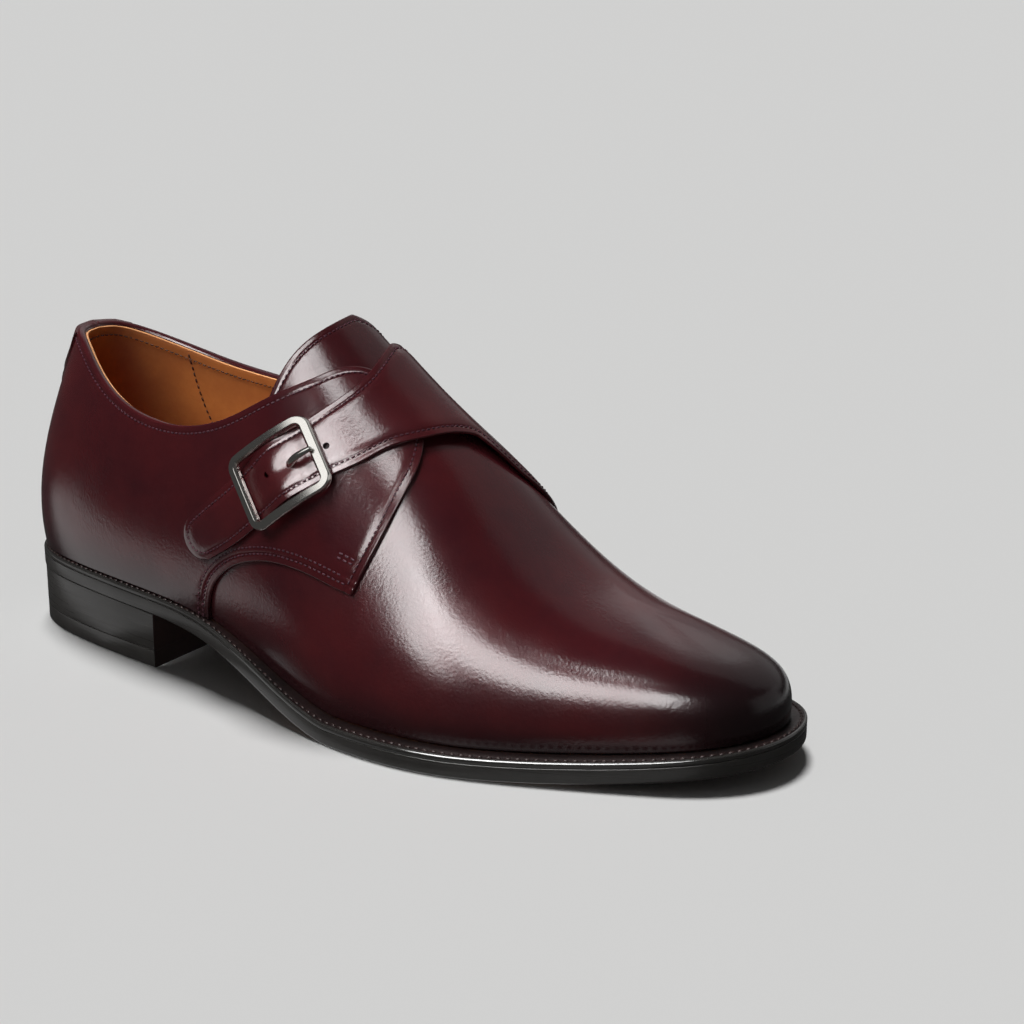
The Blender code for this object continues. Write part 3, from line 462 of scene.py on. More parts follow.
# Burnish: start and reach along the shoe and depth at the toe; along the welt, burnish and painted shade:
# reach and depth
TOE_BURNISH = (0.096, 0.044, 0.92)
WELT_BURNISH_AND_SHADE = (0.16, 0.75)
TONGUE_BURNISH = 0.25
TAB_BURNISH = 0.15
TONGUE_FACE_WALL = 0.0010
FOLD_CREST = 0.0006
FOLD_WALL = 0.0007
PINHOLE = 0.0011
# Station, around and, for the prong's slot, how many times as long as wide
PINHOLES = [(0.504, 0.684, 0), (0.452, 0.548, 0), (0.4725, 0.600, 1.8)]
SLOT_SHIFT = 0.0012
PUNCH_DEPTH = 0.0042
# The draw of the strap in front of the prong and beside it: depth, place, length and width
VALLEY = (0.00050, 0.0030, 0.0042, 0.0024)
BESIDE = (0.00035, 0.0085, 0.0016, 0.0090)
OVERLAP = 0.00022
# Stitch row of the welt: share of the ledge, least and greatest inset
WELT_ROW = (0.36, 0.0014, 0.0022)
# The tab's cut edge: its share of the wall and how far it takes to thicken
TAB_EDGE = (0.45, 0.004)
# The prong's rounded tip: start, reach and least size; and its growth, by how much and how soon
PRONG_TIP = (0.93, 0.0701, 0.15)
PRONG_SWELL = (0.55, 0.4)
PRONG_RISE = 0.0003
# Angles above which an edge stays sharp, in radians
SHARP_EDGE = 0.9
SHARP_SOLE_EDGE = 0.7
SHARP_METAL_EDGE = 0.45
# Points of the meshes along and across; three of them start with the width of the piece
LATERAL_BACK = 70
LATERAL_POINTS = 76
LATERAL_BACK_SHARE = 0.52
LATERAL_ACROSS = (0.080, 44)
MEDIAL_POINTS = (60, 41, 161)
MEDIAL_ACROSS = (0.070, 40)
TONGUE_ACROSS = (0.034, 14)
VAMP_POINTS = (230, 74)
LINING_POINTS = (201, 50)
SOLE_POINTS = 260
HEEL_POINTS = 90
WELT_POINTS = 900
# How far from a piece's edges its columns of points lie, in millimetres
EDGE_COLUMNS = (0, 0.35, 0.8, 1.2, 1.5, 1.8, 2.1, 2.4, 2.7, 3.1, 3.5, 3.9, 4.3, 4.7, 5.2, 6.0, 7.2, 9.0)


# Looks
class Tree:
    """A material's nodes."""

    def __init__(self, name):
        self.material = bpy.data.materials.new(name)
        self.material.use_nodes = True
        self.nodes = self.material.node_tree.nodes
        self.links = self.material.node_tree.links
        self.shader = self.nodes["Principled BSDF"]
        self.place = self.nodes.new("ShaderNodeTexCoord").outputs["Object"]

    def add(self, kind, sockets=(), **settings):
        node = self.nodes.new(kind)
        for key, value in settings.items():
            setattr(node, key, value)
        for key, value in dict(sockets).items():
            if isinstance(value, bpy.types.NodeSocket):
                self.links.new(value, node.inputs[key])
            else:
                node.inputs[key].default_value = value
        return node

    def noise(self, scale, detail=3.0, roughness=0.5, place=None):
        sockets = {"Vector": place or self.place, "Scale": scale, "Detail": detail, "Roughness": roughness}
        return self.add("ShaderNodeTexNoise", sockets).outputs["Fac"]

    def stretch(self, x, y, z):
        return self.add("ShaderNodeMapping", {"Vector": self.place, "Scale": (x, y, z)}).outputs["Vector"]

    def ramp(self, value, low, high, to_low=0.0, to_high=1.0):
        sockets = {"Value": value, "From Min": low, "From Max": high, "To Min": to_low, "To Max": to_high}
        return self.add("ShaderNodeMapRange", sockets).outputs["Result"]

    def mix(self, share, first, second):
        node = self.add("ShaderNodeMix", data_type="RGBA")
        for slot, value in ((0, share), (6, first), (7, second)):
            if isinstance(value, bpy.types.NodeSocket):
                self.links.new(value, node.inputs[slot])
            else:
                node.inputs[slot].default_value = value if slot == 0 else (*value, 1)
        return node.outputs[2]

    def bump(self, height, distance, strength=1.0, normal=None):
        node = self.add("ShaderNodeBump", {"Height": height, "Distance": distance, "Strength": strength})
        if normal:
            self.links.new(normal, node.inputs["Normal"])
        return node.outputs["Normal"]

    def finish(self, **sockets):
        for key, value in sockets.items():
            socket = self.shader.inputs[key.replace("_", " ")]
            if isinstance(value, bpy.types.NodeSocket):
                self.links.new(value, socket)
            else:
                socket.default_value = value
        return self.material


def leather(name, base, deep, dark, roughness, sheen, grain):
    """Polished grain leather, darker by a vertex attribute: burnish, and painted shade along the welt."""
    tree = Tree(name)
    cloud = tree.ramp(tree.noise(26.0, 5.0, 0.6), 0.36, 0.66)
    speck = tree.ramp(tree.noise(900.0, 2.0), 0.30, 0.75)
    burnish = tree.add("ShaderNodeAttribute", attribute_name="burnish").outputs["Fac"]
    colour = tree.mix(cloud, deep, base)
    colour = tree.mix(tree.ramp(speck, 0, 1, 0, 0.18), colour, deep)
    # Darker towards dark by the attribute: burnish at the toe, and painted shade along the welt
    colour = tree.mix(burnish, colour, dark)
    cells = tree.add("ShaderNodeTexVoronoi", {"Vector": tree.place, "Scale": 950.0}, feature="SMOOTH_F1")
    wrinkle = tree.noise(420.0, 4.0, 0.65)
    normal = tree.bump(cells.outputs["Distance"], 0.00006 * grain, 0.35)
    normal = tree.bump(wrinkle, 0.00009 * grain, 0.5, normal)
    normal = tree.bump(tree.noise(1100.0, 3.0, 0.6), 0.00006 * grain, 0.6, normal)
    rough = tree.ramp(tree.noise(60.0, 4.0, 0.6), 0.3, 0.7, roughness * 0.86, roughness * 1.16)
    return tree.finish(Base_Color=colour, Roughness=rough, Normal=normal, Specular_IOR_Level=sheen)


def plain_leather(name, base, dark, roughness, scale=700.0, depth=0.00008):
    """Matt vegetable-tanned leather with pores and darker worn clouds."""
    tree = Tree(name)
    cloud = tree.ramp(tree.noise(34.0, 5.0, 0.65), 0.32, 0.70)
    pores = tree.noise(scale, 3.0, 0.6)
    colour = tree.mix(cloud, dark, base)
    colour = tree.mix(tree.ramp(pores, 0.35, 0.7, 0.22, 0.0), colour, dark)
    return tree.finish(Base_Color=colour, Roughness=roughness, Normal=tree.bump(pores, depth, 0.6),
                       Specular_IOR_Level=0.15)


def edge_finish(name, base, dark, roughness, sheen=0.16):
    """Inked and waxed leather edge: fine lines along the sole."""
    tree = Tree(name)
    lines = tree.noise(1.0, 3.0, 0.6, tree.stretch(14.0, 14.0, 1500.0))
    cloud = tree.noise(40.0, 4.0, 0.6)
    colour = tree.mix(tree.ramp(cloud, 0.35, 0.68), dark, base)
    rough = tree.ramp(lines, 0.3, 0.7, roughness * 0.85, roughness * 1.2)
    return tree.finish(Base_Color=colour, Roughness=rough, Normal=tree.bump(lines, 0.00006, 0.5),
                       Specular_IOR_Level=sheen)


def metal(name, base, roughness):
    """Satin nickel, a little duller in clouds."""
    tree = Tree(name)
    rough = tree.ramp(tree.noise(120.0, 2.0), 0.3, 0.7, roughness * 0.9, roughness * 1.1)
    return tree.finish(Base_Color=(*base, 1), Metallic=1.0, Roughness=rough)


def thread(name, base):
    """Waxed thread: twisted strands."""
    tree = Tree(name)
    twist = tree.noise(2600.0, 1.0, 0.4)
    colour = tree.mix(tree.ramp(twist, 0.3, 0.7), tuple(0.6 * c for c in base), base)
    return tree.finish(Base_Color=colour, Roughness=0.5, Normal=tree.bump(twist, 0.00008, 0.6),
                       Specular_IOR_Level=0.12)


OXBLOOD = leather("oxblood", (0.050, 0.0065, 0.0079), (0.030, 0.0048, 0.0068), (0.0060, 0.0032, 0.0038),
                  0.20, 0.25, 1.0)
LINING = plain_leather("lining_tan", (0.54, 0.180, 0.036), (0.38, 0.110, 0.020), 0.55)
LINING_EDGE = plain_leather("lining_edge", (0.72, 0.36, 0.16), (0.55, 0.25, 0.10), 0.5)
SOCK = plain_leather("sock_tan", (0.36, 0.140, 0.045), (0.22, 0.080, 0.026), 0.5)
SOLE_EDGE = edge_finish("sole_edge", (0.0235, 0.0220, 0.0207), (0.016, 0.0148, 0.0136), 0.30)
WAXED_LINE = edge_finish("waxed_line", (0.0235, 0.0220, 0.0207), (0.016, 0.0148, 0.0136), 0.16, 0.6)
WELT_FACE = edge_finish("welt_face", (0.016, 0.0090, 0.0090), (0.008, 0.0055, 0.0055), 0.34)
BREAST = plain_leather("heel_breast", (0.040, 0.0135, 0.0095), (0.018, 0.0075, 0.0060), 0.45)
SOLE_FACE = plain_leather("sole_face", (0.055, 0.030, 0.020), (0.026, 0.015, 0.011), 0.48)
LIFT = plain_leather("lift_rubber", (0.014, 0.0135, 0.013), (0.009, 0.0088, 0.0085), 0.62, 1500.0, 0.0001)
NICKEL_SATIN = metal("nickel_satin", (0.68, 0.66, 0.62), 0.22)
THREAD_DARK = thread("thread_oxblood", (0.060, 0.018, 0.028))
THREAD_TAN = thread("thread_lining", (0.075, 0.026, 0.012))
THREAD_WELT = thread("thread_welt", (0.022, 0.012, 0.011))


def place_piece(name, mesh, finishes, replaces):
    """Puts a mesh on the shoe as a piece, which may stand for a node."""
    for finish in finishes:
        mesh.materials.append(finish)
    thing = bpy.data.objects.new(name, mesh)
    bpy.context.scene.collection.objects.link(thing)
    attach(thing, "root")
    if replaces:
        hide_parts(replaces)
    return thing


def add_piece(name, points, faces, finishes, replaces=None, indices=None):
    """Smooth piece from points and faces."""
    mesh = bpy.data.meshes.new(name)
    mesh.from_pydata([tuple(p) for p in points], [], faces)
    thing = place_piece(name, mesh, finishes, replaces)
    if indices is not None:
        mesh.polygons.foreach_set("material_index", np.asarray(indices, np.int32))
    mesh.update()
    mesh.shade_smooth()
    mesh.set_sharp_from_angle(angle=SHARP_EDGE)
    return thing


def paint(thing, values):
    """Stores how dark each vertex is painted: burnish, and painted shade along the welt."""
    attribute = thing.data.attributes.new("burnish", "FLOAT", "POINT")
    attribute.data.foreach_set("value", np.clip(values, 0, 1).astype(np.float32))


def grid_faces(rows, across, start=0, flip=False):
    """Quads of a grid of vertices stored row by row."""
    i, j = np.meshgrid(np.arange(rows - 1), np.arange(across - 1), indexing="ij")
    a = start + i * across + j
    quads = np.stack([a, a + across, a + across + 1, a + 1], -1).reshape(-1, 4)
    return (quads[:, ::-1] if flip else quads).tolist()


def on_shoe(station, around, level=0.0):
    """Point of the model at a level above the last."""
    shape = np.broadcast_shapes(np.shape(station), np.shape(around), np.shape(level))
    station, around, level = (np.broadcast_to(np.asarray(a, float), shape) for a in (station, around, level))
    return layer_point(station, around, level) + PLACE


def shell(name, outer, inner, finishes, replaces=None, bulge=0.32, burnish=None):
    """Piece of leather between two grids, with a rounded rim."""
    rows, across = outer.shape[:2]
    loop = ([(i, 0) for i in range(rows)] + [(rows - 1, j) for j in range(1, across)]
            + [(i, across - 1) for i in range(rows - 2, -1, -1)] + [(0, j) for j in range(across - 2, 0, -1)])
    i, j = np.array(loop).T
    behind = outer[np.clip(i, 1, rows - 2), np.clip(j, 1, across - 2)]
    top, low = outer[i, j], inner[i, j]
    up = top - low
    high = np.linalg.norm(up, axis=1, keepdims=True)
    up = up / high
    out = top - behind
    out -= up * (out * up).sum(1, keepdims=True)
    out /= np.linalg.norm(out, axis=1, keepdims=True)
    rings = []
    for turn in np.linspace(0, np.pi, RIM_STEPS + 2)[1:-1]:
        rings.append((top + low) / 2 + up * high / 2 * np.cos(turn) + out * high * bulge * np.sin(turn))
    size, length = rows * across, len(loop)
    flat = i * across + j
    chain = [flat] + [2 * size + k * length + np.arange(length) for k in range(RIM_STEPS)] + [size + flat]
    faces = grid_faces(rows, across) + grid_faces(rows, across, size, True)
    for near, far in zip(chain[:-1], chain[1:]):
        faces += np.stack([np.roll(near, -1), near, far, np.roll(far, -1)], -1).tolist()
    points = np.concatenate([outer.reshape(-1, 3), inner.reshape(-1, 3)] + rings)
    thing = add_piece(name, points, faces, finishes, replaces)
    if burnish is not None:
        values = burnish.reshape(-1)
        paint(thing, np.concatenate([values, values] + [values[flat]] * RIM_STEPS))
    return thing


def nearest(points, line):
    """Distance from each point of a grid to a line of points."""
    flat = points.reshape(-1, 3)
    out = np.empty(len(flat))
    for start in range(0, len(flat), 4000):
        part = flat[start:start + 4000]
        out[start:start + 4000] = np.sqrt(((part[:, None] - line[None]) ** 2).sum(-1).min(1))
    return out.reshape(points.shape[:-1])


def ring_faces(count, size, closed=False):
    """Quads between rings of points, and the two ends of an open run of rings."""
    faces = []
    for i in range(count if closed else count - 1):
        for k in range(size):
            n, j = (k + 1) % size, (i + 1) % count
            faces.append((i * size + k, i * size + n, j * size + n, j * size + k))
    if not closed:
        faces += [tuple(range(size))[::-1], tuple((count - 1) * size + k for k in range(size))]
    return faces


def edge_shares(width, count):
    """Shares across a piece about width wide, close together near both edges."""
    close = np.array(EDGE_COLUMNS) / 1000 / width
    middle = np.linspace(close[-1], 1 - close[-1], count)[1:-1]
    return np.concatenate([close, middle, 1 - close[::-1]])


def run_at(rows, shares):
    """Points at shares of the way along the smooth line through style rows."""
    dense = style_run(rows, 6 * DENSE)
    where = np.linspace(0, 1, len(dense))
    return np.stack([np.interp(shares, where, dense[:, k]) for k in (0, 1)], -1)


def grooved(distance, rows):
    """How far stitch rows press the leather down at a distance from the edge."""
    return sum(GROOVE_DEPTH * np.exp(-((distance - row) / GROOVE_WIDTH) ** 2) for row in rows)


def skived(distance):
    """How much thinner the leather is towards a cut edge."""
    return SKIVE * (1 - smooth_step(distance / SKIVE_REACH))


def offset_line(line, distance, side):
    """Style line moved over the last's surface by a distance to one side."""
    place = last_point(*split(line))
    step = 1e-4
    by_station = (last_point(line[:, 0] + step, line[:, 1]) - place) / step
    by_around = (last_point(line[:, 0], line[:, 1] + step) - place) / step
    run = np.gradient(place, axis=0)
    out = np.cross(last_normal(*split(line)), run) * side
    out *= distance / np.linalg.norm(out, axis=1, keepdims=True)
    moved = line.copy()
    for k in range(len(line)):
        slopes = np.stack([by_station[k], by_around[k]], -1)
        moved[k] += np.linalg.lstsq(slopes, out[k], rcond=None)[0]
    return moved


def stitch_row(line, level, pitch=STITCH_PITCH, share=STITCH_SHARE, radius=THREAD):
    """Points and faces of the stitches of one row along a style line."""
    place = on_shoe(*split(line), level)
    normal = last_normal(*split(line))
    return stitches_on(place, normal, pitch, share, radius)


STITCH_ALONG = np.array([-0.5, -0.36, 0.0, 0.36, 0.5])
STITCH_LIFT = np.array([-1.5, 0.0, 0.35, 0.0, -1.5])
STITCH_SIZE = np.array([0.35, 0.95, 1.05, 0.95, 0.35])
STITCH_SIDES = 6


def stitches_on(place, normal, pitch, share, radius):
    """Stitches along a line of points with their normals: short bowed threads that dive at their ends."""
    reached = run_length(place)
    count = max(int(reached[-1] / pitch), 1)
    centres = (np.arange(count) + 0.5) * reached[-1] / count
    along = STITCH_ALONG * share * reached[-1] / count
    lift = STITCH_LIFT * radius
    size = STITCH_SIZE * radius
    angles = np.arange(STITCH_SIDES) * np.pi / 3
    stitch = ring_faces(len(along), STITCH_SIDES)
    points, faces = [], []
    for centre in centres:
        where = centre + along
        spine = np.stack([np.interp(where, reached, place[:, k]) for k in range(3)], -1)
        up = np.stack([np.interp(centre, reached, normal[:, k]) for k in range(3)], -1)
        run = spine[-1] - spine[0]
        run /= np.linalg.norm(run)
        side = np.cross(up, run)
        side /= np.linalg.norm(side)
        up = np.cross(run, side)
        faces += [tuple(len(points) + v for v in face) for face in stitch]
        for k in range(len(along)):
            for angle in angles:
                high = lift[k] + size[k] * np.sin(angle)
                points.append(spine[k] + up * high + side * size[k] * np.cos(angle))
    return points, faces


def sew(name, rows, finish):
    """One piece from the stitches of several rows."""
    points, faces = [], []
    for more_points, more_faces in rows:
        faces += [tuple(v + len(points) for v in face) for face in more_faces]
        points += more_points
    return add_piece(name, points, faces, [finish])


def burnished_and_shaded(station, around):
    """Darker polish at the toe; darker along the welt and at the heel's foot: burnish and painted shade."""
    side = np.where(around > 1, 2 - around, around)
    start, reach, most = TOE_BURNISH
    toe = smooth_step((on_shoe(station, around)[..., 0] - start) / reach)
    # Along the welt the darkening is burnish and painted shade where the upper meets the welt
    foot, foot_most = WELT_BURNISH_AND_SHADE
    return np.maximum(most * toe, foot_most * (1 - smooth_step(side / foot)))


def two_sides(stations, share, drop=0.0, level=0.0):
    """Open sheet up both sides of the shoe to the collar and the throat, and its burnish and painted shade.
    """
    bm = bmesh.new()
    burnish = []
    for side in ("lateral", "medial"):
        around = (throat_share(stations, side) - drop)[:, None] * share
        if side == "medial":
            around = 2 - around[:, ::-1]
        verts = [[bm.verts.new(p) for p in row] for row in on_shoe(stations[:, None], around, level)]
        burnish.append(burnished_and_shaded(np.broadcast_to(stations[:, None], around.shape), around).ravel())
        for near, far in zip(verts[:-1], verts[1:]):
            for k in range(len(near) - 1):
                bm.faces.new((near[k], far[k], far[k + 1], near[k + 1]))
    return bm, np.concatenate(burnish)


def make_upper():
    """Vamp with its seam allowance under the quarters."""
    along, across = VAMP_POINTS
    stations = np.concatenate([[VAMP_START[0]], np.linspace(VAMP_START[1], 1, along)])
    drop = SEAM_ALLOWANCE * (stations < THROAT[3].station)
    bm, burnish = two_sides(stations, np.linspace(0, 1, across), drop)
    # Burnish, and painted shade along the welt, kept on the points
    layer = bm.verts.layers.float.new("burnish")
    for vert, value in zip(bm.verts, burnish):
        vert[layer] = value
    close_skin("vamp", bm, VAMP_WALL, [OXBLOOD], "upper")


def close_skin(name, bm, wall, finishes, replaces=None):
    """Piece from an open sheet, given its wall inward."""
    bmesh.ops.remove_doubles(bm, verts=bm.verts, dist=2e-6)
    mesh = bpy.data.meshes.new(name)
    bm.to_mesh(mesh)
    bm.free()
    mesh.shade_smooth()
    thing = place_piece(name, mesh, finishes, replaces)
    solid = thing.modifiers.new("wall", "SOLIDIFY")
    solid.thickness = wall
    solid.offset = -1
    solid.use_even_offset = True
    solid.material_offset_rim = len(finishes) - 1
    soft = thing.modifiers.new("edge", "BEVEL")
    soft.width = wall * 0.35
    soft.segments = 2
    soft.limit_method = "ANGLE"
    soft.angle_limit = 1.0


def make_lining():
    """Tan lining of quarters and vamp, open at the collar and throat."""
    stations, share = (np.linspace(0, 1, count) for count in LINING_POINTS)
    bm = two_sides(stations, share, level=LINING_LEVEL)[0]
    close_skin("lining", bm, UPPER_WALL - VAMP_WALL - 0.0001, [LINING, LINING_EDGE])


def back_level(station):
    """Level of a quarter's inner face: on the lining behind, on the vamp in front."""
    return 0.00012 - VAMP_WALL * (1 - smooth_step((station - 0.27) / 0.04))


def tack_rows(front, side, run):
    """Two short rows that tack a quarter's pointed front down."""
    line = offset_line(style_run(front, 600), ROW_INSET, side)
    reached = run_length(last_point(*split(line)))
    share = np.linspace(0, 1, 24)[:, None]
    return [line[np.searchsorted(reached, far)] + (0.15 + 0.85 * share) * run for far in TACK_PLACES]


def tacks(base, rows):
    """How deep tacking stitches draw the leather in."""
    return [TACK_DEPTH * np.exp(-(nearest(base, last_point(*split(row))) / TACK_WIDTH) ** 2) for row in rows]


def make_quarter_lateral():
    """Lateral quarter, with its stitched seam, front edge and collar."""
    seam = 1 - (1 - np.linspace(0, 1, LATERAL_POINTS)) ** 1.5
    back = style_run([(SEAM_HALF_GAP, FEATHER_SHARE), (LATERAL_SEAM[0][0], FEATHER_SHARE)], LATERAL_BACK)
    lower = np.concatenate([back, run_at(LATERAL_SEAM, seam)[1:]])
    behind = np.linspace(0, LATERAL_BACK_SHARE, LATERAL_BACK)
    where = np.concatenate([behind, LATERAL_BACK_SHARE + (1 - LATERAL_BACK_SHARE) * seam[1:]])
    upper = run_at(collar_rows("lateral") + LATERAL_TOP, where)
    shares = edge_shares(*LATERAL_ACROSS)
    grid = lower[:, None] * (1 - shares[None, :, None]) + upper[:, None] * shares[None, :, None]
    front = run_at(LATERAL_FRONT, shares)
    pull = where[:, None, None] ** FRONT_PULL
    grid = grid + pull * (front - grid[-1])
    base = last_point(*split(grid))
    lines = (style_run(LATERAL_SEAM, 400), style_run(LATERAL_FRONT, 300),
             style_run(collar_rows("lateral") + LATERAL_TOP, 800))
    from_seam, from_front, from_top = (nearest(base, last_point(*split(line))) for line in lines)
    pressed = [grooved(from_seam, (ROW_INSET, SECOND_ROW)), grooved(from_front, (ROW_INSET,)),
               grooved(from_top, (ROW_INSET,))]
    pressed += tacks(base, tack_rows(LATERAL_FRONT, 1, TACK_RUN))
    level = QUARTER_TOP - np.max(pressed, 0) - skived(np.minimum(from_seam, from_front))
    outer = on_shoe(*split(grid), level)
    inner = on_shoe(*split(grid), back_level(grid[..., 0]))
    shell("quarter_outer", outer, inner, [OXBLOOD], "quarter_lateral",
          burnish=burnished_and_shaded(*split(grid)))


def pucker(base):
    """How deep the strap is drawn in about the prong's slot."""
    centre, along, across = buckle_axes()[:3]
    ahead, aside = (base - centre) @ along, (base - centre) @ across
    drawn = 0
    for depth, place, length, width in (VALLEY, BESIDE):
        drawn = drawn + depth * np.exp(-(aside / width) ** 2 - ((ahead - place) / length) ** 2)
    return drawn * (np.linalg.norm(base - centre, axis=-1) < PUCKER_REACH)


def make_quarter_medial():
    """Medial quarter and strap, stitched round the strap's edges and tail."""
    counts, knots = MEDIAL_POINTS, STRAP_COLUMNS
    feather = [(SEAM_HALF_GAP, 2 - FEATHER_SHARE), (MEDIAL_SEAM[0][0], 2 - FEATHER_SHARE)]
    runs = [style_run(rows, count) for rows, count in zip((feather, MEDIAL_SEAM, STRAP_FRONT), counts)]
    lower = np.concatenate([runs[0], runs[1][1:], runs[2][1:]])
    coarse = sum(knots)
    index = np.concatenate([np.linspace(0, knots[0] - 1, counts[0]),
                            knots[0] - 1 + np.linspace(0, knots[1], counts[1])[1:],
                            sum(knots[:2]) - 1 + np.linspace(0, knots[2], counts[2])[1:]])
    upper = run_at(collar_rows("medial") + STRAP_BACK[1:], index / (coarse - 1))
    shares = edge_shares(*MEDIAL_ACROSS)
    grid = lower[:, None] * (1 - shares[None, :, None]) + upper[:, None] * shares[None, :, None]
    tail = np.array(TAIL_REACH) * np.sqrt(1 - (2 * shares - 1) ** 2)[:, None]
    pull = np.clip((index - coarse + TAIL_COLUMNS + 1) / TAIL_COLUMNS, 0, 1)
    grid = (grid + pull[:, None, None] ** 2 * tail)[:, ::-1]
    base = last_point(*split(grid))
    seam_line = style_run(MEDIAL_SEAM, 300)
    from_seam = nearest(base, last_point(*split(seam_line)))
    from_edge = nearest(base, last_point(*split(strap_edge(grid))))
    collar = grid[:sum(MEDIAL_POINTS[:2]), 0]
    from_collar = nearest(base, last_point(*split(collar)))
    drawn = np.maximum(pucker(base), np.max(tacks(base, tack_rows(STRAP_FRONT, -1, MEDIAL_TACK_RUN)), axis=0))
    top = strap_level(*split(grid))
    level = top - grooved(from_seam, (ROW_INSET, SECOND_ROW))
    level = level - grooved(np.minimum(from_edge, from_collar), (ROW_INSET,))
    level = level - skived(np.minimum(from_seam, from_edge)) - drawn
    outer = on_shoe(*split(grid), level)
    under = top - QUARTER_WALL
    lying = smooth_step((grid[..., 1] - STRAP_LIFT_START) / 0.05)
    inner = on_shoe(*split(grid), under * (1 - lying) + back_level(grid[..., 0]) * lying)
    return grid, shell("quarter_inner_strap", outer, inner, [OXBLOOD],
                       "quarter_medial_strap", burnish=burnished_and_shaded(*split(grid)))


def strap_edge(grid):
    """Edge of the strap from the medial seam's corner, round the tail and back to the collar."""
    start = sum(MEDIAL_POINTS[:2]) - 1
    return np.concatenate([grid[start:, -1], grid[-1, ::-1][1:], grid[:start:-1, 0][1:]])


def make_tongue():
    """Tongue with a lined back and a stitched round edge."""
    around = np.linspace(TONGUE_EDGE[0].around, TONGUE_EDGE[-1].around, 90)
    edge, throat = (np.interp(around, line[:, 1], line[:, 0])
                    for line in (style_run(rows, 2 * DENSE) for rows in (TONGUE_EDGE, THROAT)))
    soft = np.convolve(np.pad(edge, 9, "edge"), np.hanning(19) / np.hanning(19).sum(), "valid")
    edge = edge + (soft - edge) * np.sin(np.pi * np.linspace(0, 1, len(edge))) ** 0.3
    share = edge_shares(*TONGUE_ACROSS)[:, None]
    stations = edge * (1 - share) + (throat - TONGUE_GAP) * share
    around = np.broadcast_to(around, stations.shape)
    line = smooth_line(np.stack([edge, around[0]], -1), 400)
    from_edge = nearest(last_point(stations, around), last_point(*split(line)))
    level = -TONGUE_SINK - grooved(from_edge, (ROW_INSET,))
    outer = on_shoe(stations, around, level)
    middle = on_shoe(stations, around, -TONGUE_SINK - TONGUE_FACE_WALL)
    inner = on_shoe(stations, around, -TONGUE_SINK - UPPER_WALL)
    shell("tongue_face", outer, middle, [OXBLOOD], "tongue",
          burnish=TONGUE_BURNISH * np.ones(stations.shape))
    shell("tongue_lining", middle - (outer - middle) * 0.04, inner, [LINING], bulge=0.2)
    row = stitch_row(offset_line(line, ROW_INSET, -1), -TONGUE_SINK - 0.0001)
    sew("stitches_tongue", [row], THREAD_DARK)


def make_tab():
    """Tab over the back seam, folded over the collar."""
    share = np.linspace(-1, 1, 121)
    place = (np.sin(share * np.pi / 2) * 0.5 + share * 0.5)[:, None]
    down = np.linspace(1, 0, 26)[None, :]
    reach = (1 - np.abs(place) ** TAB_ROUNDNESS) ** (1 / TAB_ROUNDNESS)
    depth = (TAB_END_SHARE + (TAB_SHARE - TAB_END_SHARE) * reach) * down
    stations = np.abs(place) * TAB_STATION * (1 - TAB_TAPER * depth / TAB_SHARE)
    lateral, medial = np.array(collar_rows("lateral")), np.array(collar_rows("medial"))
    top = np.where(place < 0, np.interp(stations, *split(lateral)),
                   2 - np.interp(stations, *split(medial)))
    around = top - depth + 0.002
    around = np.where(place > 0, 2 - around, around)
    base = on_shoe(stations, around, QUARTER_TOP)
    from_low = np.linalg.norm(base[:, :, None] - base[None, None, ::4, 0], axis=-1)
    thick = TAB_WALL * (TAB_EDGE[0] + (1 - TAB_EDGE[0]) * smooth_step(from_low.min(-1) / TAB_EDGE[1]))
    level = QUARTER_TOP + 0.00005 + thick
    outer = on_shoe(stations, around, level)[::-1]
    inner = on_shoe(stations, around, QUARTER_TOP + 0.00002)[::-1]
    over_levels = np.linspace(level[:, -1], level[:, -1] * 0 - VAMP_WALL + 0.0001, 9)
    crest = FOLD_CREST * np.sin(np.linspace(0, np.pi, 9)) ** 0.7
    rim = [on_shoe(stations[:, -1], around[:, -1], value) + (0, 0, rise)
           for value, rise in zip(over_levels, crest)]
    fold = np.stack(rim[1:], 1)[::-1]
    outer = np.concatenate([outer, fold], 1)
    inner = np.concatenate([inner, fold - (0, 0, FOLD_WALL)], 1)
    shell("heel_tab_fold", outer, inner, [OXBLOOD], "heel_tab",
          burnish=TAB_BURNISH * np.ones(outer.shape[:2]))


